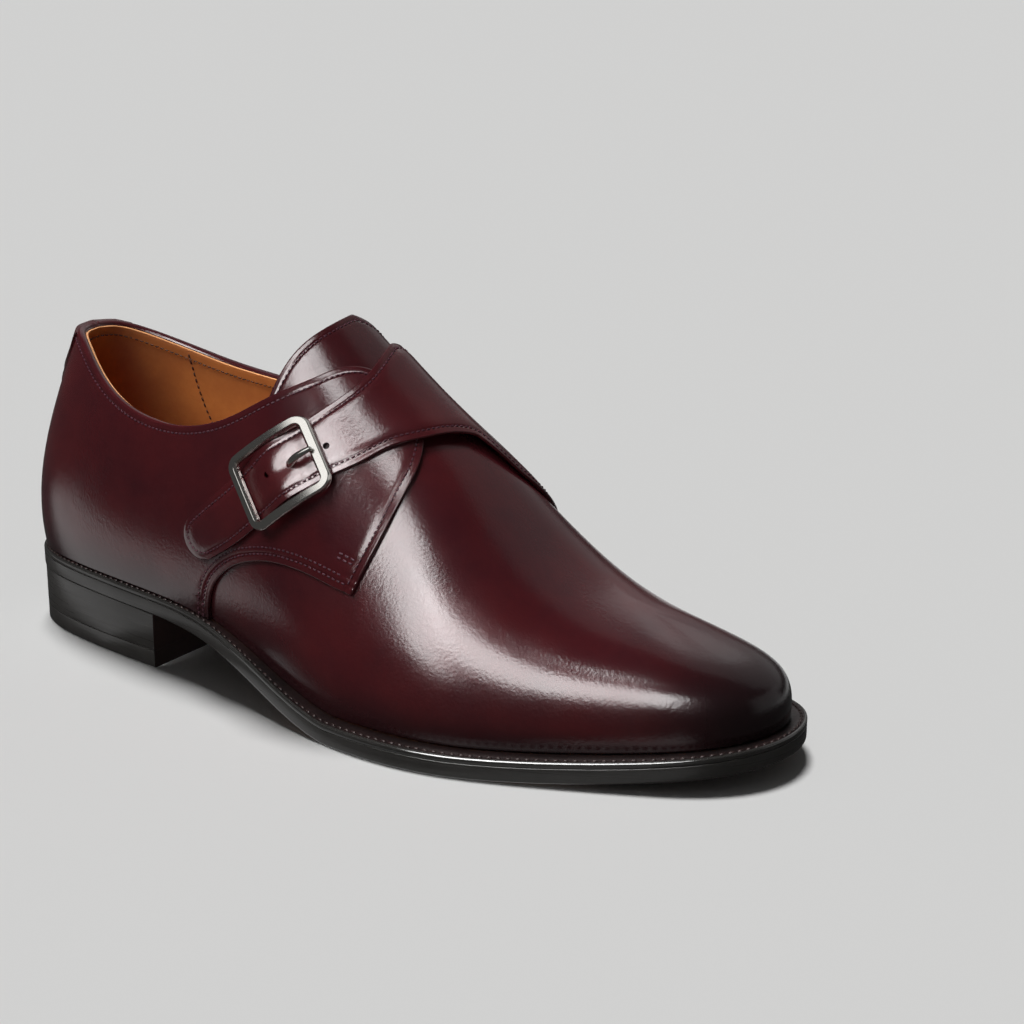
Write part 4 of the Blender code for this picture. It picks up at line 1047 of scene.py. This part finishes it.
def plate(name, stations, inset, low, high, round_low, round_high, finishes, replaces):
    """Plate across the sole with rounded edges; finishes are edge, underside and end."""
    turn = np.linspace(0, np.pi / 2, 5)
    side = ([(round_low * (1 - np.sin(t)), round_low * (1 - np.cos(t)), 0) for t in turn]
            + [(round_high * (1 - np.sin(t)), -round_high * (1 - np.cos(t)), 1) for t in turn[::-1]])
    inset = np.broadcast_to(inset, stations.shape)
    share = np.linspace(0, 1, 13)[1:-1]

    def level(plan, up, top):
        return np.where(top, high(plan[..., 0]), low(plan[..., 0])) + up

    def edge(medial):
        out = []
        for move, up, top in side:
            plan = sole_edge(stations, medial, inset + move)
            out.append(np.concatenate([plan, level(plan, up, top)[:, None]], -1))
        return np.stack(out, 1)

    lateral, medial = edge(0), edge(1)
    under = lateral[:, :1] * (1 - share[None, :, None]) + medial[:, :1] * share[None, :, None]
    over = medial[:, -1:] * (1 - share[None, :, None]) + lateral[:, -1:] * share[None, :, None]
    for strip, top in ((under, 0), (over, 1)):
        strip[..., 2] = level(strip[..., :2], 0, top)
    rings = np.concatenate([under, medial, over, lateral[:, ::-1]], 1) + PLACE
    count, size = rings.shape[:2]
    kinds = ([1] * 12 + [0] * (len(side) - 1)) * 2
    ring = [kinds[(k + 1) % size] if len(finishes) > 1 else 0 for k in range(size)]
    index = ring * (count - 1) + [0, min(2, len(finishes) - 1)]
    bm = bmesh.new()
    verts = [bm.verts.new(p) for p in rings.reshape(-1, 3)]
    for face, kind in zip(ring_faces(count, size), index):
        bm.faces.new([verts[v] for v in face]).material_index = kind
    bmesh.ops.remove_doubles(bm, verts=bm.verts, dist=3e-6)
    bmesh.ops.recalc_face_normals(bm, faces=bm.faces)
    mesh = bpy.data.meshes.new(name)
    bm.to_mesh(mesh)
    bm.free()
    place_piece(name, mesh, finishes, replaces)
    mesh.shade_smooth()
    mesh.set_sharp_from_angle(angle=SHARP_SOLE_EDGE)


def even(count):
    """Stations closer together at the heel and the toe."""
    share = np.linspace(0, 1, count)
    return share - np.sin(2 * np.pi * share) * 0.72 / (2 * np.pi)


def make_sole():
    """Outsole, stacked heel, top lift and insole."""
    stations = even(SOLE_POINTS)
    plate("sole", stations, 0.0, underside, lambda x: underside(x) + OUTSOLE_THICKNESS + OVERLAP,
          0.0007, 0.0003, [SOLE_EDGE, SOLE_FACE], "outsole")
    dense = np.linspace(0, 1, DENSE)
    breast = np.interp(HEEL_LENGTH, EDGE_ALONG(dense), dense)
    heel = breast * np.linspace(0, 1, HEEL_POINTS) ** 1.5
    ledge = HEEL_LEDGE * 0.5
    plate("heel_layers", heel, ledge, lambda x: x * 0 + TOP_LIFT_THICKNESS + OVERLAP,
          lambda x: underside(x) - 0.00004, 0.00025, 0.0002, [SOLE_EDGE, SOLE_EDGE, BREAST],
          "heel_stack")
    plate("heel_lift", heel, ledge, lambda x: x * 0, lambda x: x * 0 + TOP_LIFT_THICKNESS + 0.0001,
          0.0005, 0.00025, [SOLE_EDGE, LIFT, BREAST], "top_lift")
    inset = np.maximum(feather_inset(stations, 0), feather_inset(stations, 1)) + UPPER_WALL + 2 * GAP
    low = OUTSOLE_THICKNESS + GAP
    plate("sock", stations, inset, lambda x: underside(x) + low,
          lambda x: underside(x) + low + INSOLE_THICKNESS, 0.0005, 0.0012,
          [SOCK], "insole")


def feather_inset(stations, medial):
    """Inset of the feather line from the sole's edge."""
    return SECTION_SHAPE[medial](stations)[..., 0]


# The welt's profile: in from the sole's edge, up from the outsole, share of the wheeled marks
WELT_EDGE = [(0.00025, 0, 0), (0.0, 0.00025, 0), (0.0, 0.0013, 0), (0.00012, 0.0017, 0),
             (0.00045, 0.00195, 0), (0.0008, 0.0020, 0), (0.0012, 0.0019, 1)]
# The same for its stitched groove, in from the stitches, and for its inner edge, in from the wall
WELT_GROOVE = [(0.0, 0.00172, 1), (0.0006, 0.0019, 1), (0.0016, 0.0019, 0.3)]
WELT_INSIDE = [(0.0, 0.0018, 0), (0.0, 0, 0)]
WELT_STITCH_RISE = 0.00178
WELT_THREAD = 0.00036
WELT_STITCH_SHARE = 0.72
WHEEL_DEPTH = 0.00014


def make_welt():
    """Welt with its stitched ledge, wheeled between the stitches."""
    stations = even(WELT_POINTS)
    base = OUTSOLE_THICKNESS + GAP - 0.00005
    rings, stitch_rows = [], []
    for medial, run in ((0, stations[:-1]), (1, stations[:0:-1])):
        ledge = feather_inset(run, medial)
        wheel = WHEEL_DEPTH * np.abs(np.sin(np.pi * run_length(sole_edge(run, medial)) / WELT_PITCH)) ** 6
        row = np.clip(ledge * WELT_ROW[0], *WELT_ROW[1:])
        points = []
        for start, profile in ((0 * row, WELT_EDGE), (row, WELT_GROOVE), (ledge + UPPER_WALL, WELT_INSIDE)):
            for move, up, wheeled in profile:
                plan = sole_edge(run, medial, start + move)
                height = underside(plan[:, 0]) + base + up - wheel * wheeled
                points.append(np.concatenate([plan, height[:, None]], -1))
        rings.append(np.stack(points, 1))
        plan = sole_edge(run, medial, row)
        height = underside(plan[:, 0]) + base + WELT_STITCH_RISE
        stitch_rows.append(np.concatenate([plan, height[:, None]], -1) + PLACE)
    rings = np.concatenate(rings) + PLACE
    count, size = rings.shape[:2]
    k = np.tile(np.arange(size), count)
    index = np.where(k < 2, 0, np.where(k < 5, 2, 1))
    add_piece("welt_ledge", rings.reshape(-1, 3), ring_faces(count, size, True),
              [SOLE_EDGE, WELT_FACE, WAXED_LINE], "welt", index)
    up = np.array([0, 0, 1.0])
    rows = [stitches_on(line, np.broadcast_to(up, line.shape), WELT_PITCH, WELT_STITCH_SHARE, WELT_THREAD)
            for line in stitch_rows]
    sew("stitches_welt", rows, THREAD_WELT)


# The buckle frame's profile: out from the bar's middle in halves of its width, up in its thickness
FRAME_PROFILE = [(-1.05, 0.08), (-0.95, 0.02), (0.95, 0.02), (1.05, 0.08), (1.08, 0.52), (1.06, 0.58),
                 (0.70, 0.97), (0.64, 1.00), (-0.64, 1.00), (-0.72, 0.97), (-1.10, 0.58), (-1.12, 0.52)]


def make_frame():
    """Bevelled frame of the buckle, its sunk bar and the prong."""
    reach = np.array([BUCKLE_LENGTH, BUCKLE_WIDTH]) / 2 - BUCKLE_CORNER
    radius = BUCKLE_CORNER - BUCKLE_BAR / 2
    corners = [(1, 1), (-1, 1), (-1, -1), (1, -1)]
    places, outs = [], []
    for quarter, corner in enumerate(corners):
        angles = np.linspace(quarter, quarter + 1, 14) * np.pi / 2
        out = np.stack([np.cos(angles), np.sin(angles)], -1)
        places += list(reach * corner + out * radius)
        outs += list(out)
        start, end = places[-1], reach * corners[(quarter + 1) % 4] + out[-1] * radius
        for share in np.linspace(0, 1, 16)[1:-1]:
            places.append(start * (1 - share) + end * share)
            outs.append(out[-1])
    places, outs = np.array(places), np.array(outs)
    half, high = BUCKLE_BAR / 2, BUCKLE_THICKNESS
    rings = []
    for wide, up in FRAME_PROFILE:
        plan = places + outs * wide * half
        rings.append(drape(*split(plan), np.full(len(plan), FRAME_LEVEL + high * up)))
    rings = np.stack(rings, 1) + PLACE
    skin("buckle_frame_bevelled", rings, True, NICKEL_SATIN, "buckle_frame")
    end = BUCKLE_WIDTH / 2 - half
    foot = [(end, FRAME_LEVEL + high * 0.4), (end, FRAME_LEVEL - CENTRE_BAR / 4),
            (end - CENTRE_BAR / 3, CENTRE_BAR_LEVEL)]
    path = [(0, -a, b) for a, b in foot] + [(0, 0, CENTRE_BAR_LEVEL)] + [(0, a, b) for a, b in foot[::-1]]
    path = np.array(path)
    rod("buckle_bar", path, np.full(len(path), CENTRE_BAR / 2), None)
    start = CENTRE_BAR / 2 + GAP + PRONG / 2
    along, up, size = columns(PRONG_LINE, "along", "up", "size").T
    fine = np.linspace(0, 1, 34)
    smooth = spline(along, np.stack([up, size], -1), False)(fine)
    path = np.stack([start + fine * (PRONG_REACH - start), fine * 0,
                     CENTRE_BAR_LEVEL + smooth[:, 0] * (PRONG_REST - CENTRE_BAR_LEVEL)], -1)
    path[:, 2] += PRONG_RISE * fine
    start, reach, least = PRONG_TIP
    size = smooth[:, 1] * np.clip(np.sqrt(1 - ((fine - start) / reach) ** 2 * (fine > start)), least, 1)
    swell = 1 + PRONG_SWELL[0] * smooth_step(fine / PRONG_SWELL[1])
    rod("buckle_prong_tongue", path, size * swell * PRONG / 2, "buckle_prong")


def skin(name, rings, closed, finish, replaces):
    """Piece over rings of points."""
    faces = ring_faces(*rings.shape[:2], closed)
    thing = add_piece(name, rings.reshape(-1, 3), faces, [finish], replaces)
    bm = bmesh.new()
    bm.from_mesh(thing.data)
    bmesh.ops.recalc_face_normals(bm, faces=bm.faces)
    bm.to_mesh(thing.data)
    bm.free()
    thing.data.shade_smooth()
    thing.data.set_sharp_from_angle(angle=SHARP_METAL_EDGE)


def rod(name, path, radii, replaces):
    """Round bar along a path of (along, across, level) points over the buckle's seat."""
    angles = np.arange(16)[:, None] * np.pi / 8
    rings = []
    for i, (point, radius) in enumerate(zip(path, radii)):
        run = path[min(i + 1, len(path) - 1)] - path[max(i - 1, 0)]
        run = run / np.linalg.norm(run)
        side = np.cross(run, (1, 0, 0) if abs(run[1]) > abs(run[0]) else (0, 1, 0))
        side /= np.linalg.norm(side)
        ring = point + radius * (np.cos(angles) * side + np.sin(angles) * np.cross(run, side))
        rings.append(drape(*ring.T))
    skin(name, np.array(rings) + PLACE, False, NICKEL_SATIN, replaces)


def punch(strap):
    """Cuts the pinholes and the prong's slot through the strap."""
    along, across, out = buckle_axes()[1:]
    for station, around, long in PINHOLES:
        centre = Vector(on_shoe(station, around, STRAP_TOP))
        normal = Vector(last_normal(station, around))
        bpy.ops.mesh.primitive_cylinder_add(vertices=20, radius=PINHOLE, depth=PUNCH_DEPTH, location=centre)
        tool = bpy.context.active_object
        tool.rotation_mode = "QUATERNION"
        tool.rotation_quaternion = normal.to_track_quat("Z", "Y")
        if long:
            tool.matrix_world = (Matrix.Translation(centre + Vector(along) * SLOT_SHIFT)
                                 @ Matrix((along, across, out)).transposed().to_4x4()
                                 @ Matrix.Diagonal((long, 1, 1, 1)))
        cut = strap.modifiers.new("hole", "BOOLEAN")
        cut.operation = "DIFFERENCE"
        cut.solver = "EXACT"
        cut.object = tool
        bpy.context.view_layer.update()
        graph = bpy.context.evaluated_depsgraph_get()
        done = bpy.data.meshes.new_from_object(strap.evaluated_get(graph))
        strap.modifiers.remove(cut)
        strap.data = done
        bpy.data.objects.remove(tool)


def edge_row(line, inset, side, ends, level):
    """Stitches along an edge, inset to one side of it and without its first and last points."""
    return stitch_row(offset_line(line, inset, side)[ends], level)


def tack_stitches(front, side, run, height):
    """The two rows of stitches that tack a quarter's front down, at the leather's height."""
    return [stitch_row(row, height(*split(row)) - TACK_DROP, TACK_PITCH, radius=1.15 * THREAD)
            for row in tack_rows(front, side, run)]


def sewing(strap_grid):
    """Stitch rows of the quarters, the strap, the collar and the lining."""
    sunk, skived_row = QUARTER_TOP + ROW_DROP, QUARTER_TOP + ROW_DROP + SKIVED_DROP
    first, second = slice(4, -16), slice(4, -30)
    seam = style_run(LATERAL_SEAM, 500)
    rows = [edge_row(seam, ROW_INSET, 1, first, skived_row), edge_row(seam, SECOND_ROW, 1, second, sunk),
            edge_row(style_run(LATERAL_FRONT, 300), ROW_INSET, 1, slice(10, None), skived_row)]
    rows += tack_stitches(LATERAL_FRONT, 1, TACK_RUN, lambda station, around: QUARTER_TOP)
    sew("stitches_quarter", rows, THREAD_DARK)
    rows = [edge_row(style_run(collar_rows("lateral") + LATERAL_TOP, 900), ROW_INSET, -1, slice(4, -8), sunk),
            edge_row(style_run(collar_rows("medial"), 600), ROW_INSET, 1, slice(4, -4), sunk)]
    sew("stitches_collar", rows, THREAD_DARK)
    seam = style_run(MEDIAL_SEAM, 500)
    rows = [edge_row(seam, ROW_INSET, -1, first, skived_row), edge_row(seam, SECOND_ROW, -1, second, sunk)]
    row = offset_line(smooth_line(strap_edge(strap_grid), 1400), ROW_INSET, -1)[12:-6]
    rows.append(stitch_row(row, strap_level(*split(row)) + ROW_DROP + SKIVED_DROP))
    rows += tack_stitches(STRAP_FRONT, -1, MEDIAL_TACK_RUN, strap_level)
    sew("stitches_strap", rows, THREAD_DARK)
    rows = []
    for side, turn in (("lateral", -1), ("medial", 1)):
        inner = offset_line(style_run(collar_rows(side), 600), LINING_ROW, turn)[4:-4]
        place = on_shoe(*split(inner), LINING_LEVEL - UPPER_WALL + 0.00005)
        rows.append(stitches_on(place, -last_normal(*split(inner)), STITCH_PITCH, STITCH_SHARE, THREAD))
    seam = style_run(LINING_SEAM, 200)
    place = on_shoe(*split(seam), 0.00003 - UPPER_WALL)
    rows.append(stitches_on(place, -last_normal(*split(seam)), LINING_PITCH, STITCH_SHARE, THREAD * 1.2))
    sew("stitches_lining", rows, THREAD_TAN)


def smooth_line(line, count):
    """Evenly spaced points, count of them, along a style line."""
    steps = np.linalg.norm(np.diff(line, axis=0) * SPANS, axis=1)
    line = line[np.concatenate([[True], steps > 1e-7])]
    reached = run_length(line, SPANS)
    where = np.linspace(0, reached[-1], count)
    return np.stack([np.interp(where, reached, line[:, k]) for k in (0, 1)], -1)


make_upper()
make_lining()
make_quarter_lateral()
strap_grid, strap = make_quarter_medial()
punch(strap)
make_tongue()
make_tab()
make_sole()
make_welt()
make_frame()
sewing(strap_grid)


# Studio
LIGHT_TARGET = Vector((0.02, 0.0, 0.05))
CAMERA_PLACE = np.array([0.514034, -0.493892, 0.245615]) + PLACE
CAMERA_HEADING = -0.565879
CAMERA_PITCH = 0.295370
CAMERA_ROLL = 0.006468
FOCAL = 1920.2 / 1024
SENSOR = 36.0
FLOOR_TONE = (0.80, 0.80, 0.793)
BACKDROP_TONE = (0.630, 0.630, 0.624)
FLOOR_REACH = 14.0
FLOOR_BEND = 3.0
BACKDROP_TOP = 8.0
SHEET_LEVEL = -0.002
WORLD_TONE = (0.95, 0.95, 0.95, 1)
WORLD_STRENGTH = 0.06


def make_floor():
    """Pale floor, and a backdrop that curves up all round it and is as bright as the floor."""
    pale = Tree("floor_pale").finish(Base_Color=(*FLOOR_TONE, 1), Roughness=0.9, Specular_IOR_Level=0.0)
    glowing = Tree("backdrop_pale").finish(Base_Color=(0, 0, 0, 1), Roughness=0.9, Specular_IOR_Level=0.0,
                                           Emission_Color=(*BACKDROP_TONE, 1), Emission_Strength=1.0)
    around = np.linspace(0, 2 * np.pi, 96, endpoint=False)
    count = len(around)
    rise = np.linspace(0, np.pi / 2, 20)
    bend = [(FLOOR_REACH + FLOOR_BEND * np.sin(t), FLOOR_BEND - FLOOR_BEND * np.cos(t)) for t in rise]
    bend.append((FLOOR_REACH + FLOOR_BEND, BACKDROP_TOP))
    rim = []
    for k in range(len(bend) - 1):
        for j in range(count):
            near, far = k * count, (k + 1) * count
            rim.append((near + j, far + j, far + (j + 1) % count, near + (j + 1) % count))
    for name, profile, faces, finish in (("floor", [(FLOOR_REACH, 0.0)], [tuple(range(count))], pale),
                                         ("backdrop", bend, rim, glowing)):
        mesh = bpy.data.meshes.new(name)
        mesh.from_pydata([(r * np.cos(a), r * np.sin(a), z) for r, z in profile for a in around], [], faces)
        mesh.materials.append(finish)
        thing = bpy.data.objects.new(name, mesh)
        thing.visible_glossy = False
        thing.visible_diffuse = name == "floor"
        bpy.context.scene.collection.objects.link(thing)


def way_to(heading, height):
    """Direction from the shoe to a heading and a height in degrees."""
    turn, tilt = np.radians((heading, height))
    return Vector((np.cos(tilt) * np.cos(turn), np.cos(tilt) * np.sin(turn), np.sin(tilt)))


def new_light(name, kind, power, size=None):
    """Light of a kind, rectangular if it has a size."""
    light = bpy.data.lights.new(name, kind)
    light.energy = power
    if size:
        light.shape = "RECTANGLE"
        light.size, light.size_y = size
    thing = bpy.data.objects.new(name, light)
    bpy.context.scene.collection.objects.link(thing)
    return thing


def add_light(name, heading, height, distance, size, power, glossy, diffuse, roll=0):
    """Soft box that looks at the shoe from a heading and a height in degrees."""
    way = way_to(heading, height)
    facing = (-way).to_track_quat("-Z", "Y").to_matrix() @ Matrix.Rotation(np.radians(roll), 3, "Z")
    thing = new_light(name, "AREA", power, size)
    thing.matrix_world = Matrix.Translation(LIGHT_TARGET + way * distance) @ facing.to_4x4()
    thing.visible_glossy = glossy
    thing.visible_diffuse = diffuse
    return thing


def add_sheet(name, near, far, power):
    """Lit sheet on the floor that shows in the polish alone."""
    thing = new_light(name, "AREA", power, (far[0] - near[0], far[1] - near[1]))
    thing.location = ((near[0] + far[0]) / 2, (near[1] + far[1]) / 2, SHEET_LEVEL)
    thing.rotation_euler = (np.pi, 0, 0)
    thing.visible_diffuse = False
    return thing


def add_sun(heading, height, strength, spread):
    """Even light from a heading and a height in degrees, left out of reflections."""
    thing = new_light("key", "SUN", strength)
    thing.data.angle = np.radians(spread)
    thing.rotation_euler = (-way_to(heading, height)).to_track_quat("-Z", "Y").to_euler()
    thing.visible_glossy = False


def link(lights, names, state):
    """Lights that shine on some things alone, or on everything but them."""
    group = bpy.data.collections.new("light_group_" + lights[0].name)
    for name in names:
        group.objects.link(bpy.data.objects[name])
    for member in group.collection_objects:
        member.light_linking.link_state = state
    for light in lights:
        light.light_linking.receiver_collection = group


def add_camera():
    """Camera where the photo was taken from."""
    camera = bpy.data.objects.new("camera", bpy.data.cameras.new("camera"))
    camera.data.sensor_width = SENSOR
    camera.data.lens = FOCAL * SENSOR
    turned, level = (np.sin(CAMERA_HEADING), np.cos(CAMERA_HEADING)), np.cos(CAMERA_PITCH)
    ahead = np.array([level * turned[0], level * turned[1], -np.sin(CAMERA_PITCH)])
    right = np.array([turned[1], -turned[0], 0])
    up = np.cross(right, ahead)
    cosine, sine = np.cos(CAMERA_ROLL), np.sin(CAMERA_ROLL)
    right, up = cosine * right + sine * up, cosine * up - sine * right
    facing = Matrix((right, up, -ahead)).transposed().to_4x4()
    camera.matrix_world = Matrix.Translation(Vector(CAMERA_PLACE)) @ facing
    bpy.context.scene.collection.objects.link(camera)
    bpy.context.scene.camera = camera


make_floor()
add_camera()

METAL = ("buckle_frame_bevelled", "buckle_bar", "buckle_prong_tongue")
STRAPS = ("quarter_inner_strap", "tongue_face", "quarter_outer")
tall = add_light("tall_box", -95, 38, 1.2, (0.43, 1.28), 48, True, False, -10)
low = add_light("low_box", -71, 30, 1.2, (0.64, 0.52), 27, True, False, -14)
high = add_light("high_box", -60, 70, 1.2, (0.36, 0.38), 10, True, False)
front = add_light("quarter_box", -22, 40, 1.2, (0.66, 0.40), 20, True, False)
add_sun(145, 77, 2.37, 15)
fill = add_light("fill", -118, 50, 2.2, (1.4, 1.2), 51, False, True)
back_fill = add_light("back_fill", 120, 35, 2.4, (1.6, 1.2), 22, False, True)
add_light("back_card", 96, 36, 1.8, (3.2, 1.7), 7, True, False)
add_light("back_box", 104, 33, 1.8, (0.55, 0.40), 0.6, True, False)
add_light("front_card", 28, 10, 1.6, (1.4, 0.9), 2.0, True, False)
nickel = add_light("nickel_box", -88, 42, 1.4, (1.1, 1.0), 4.6, True, False)
sheets = [add_sheet("floor_left", (-0.40, -0.110), (-0.11, -0.035), 0.095),
          add_sheet("floor_near", (-0.06, -0.060), (0.15, -0.035), 0.018),
          add_sheet("floor_behind", (-0.30, 0.14), (0.45, 0.60), 0.65)]
link([tall], METAL + ("quarter_outer",), "EXCLUDE")
link([low] + sheets, METAL, "EXCLUDE")
link([nickel], METAL, "INCLUDE")
link([high], STRAPS, "INCLUDE")
link([front], ("quarter_outer",), "INCLUDE")
link([fill, back_fill], ("floor",), "EXCLUDE")
world = bpy.data.worlds.new("studio")
world.use_nodes = True
background = world.node_tree.nodes["Background"].inputs
background["Color"].default_value = WORLD_TONE
background["Strength"].default_value = WORLD_STRENGTH
bpy.context.scene.world = world
bpy.context.scene.view_settings.view_transform = "Standard"
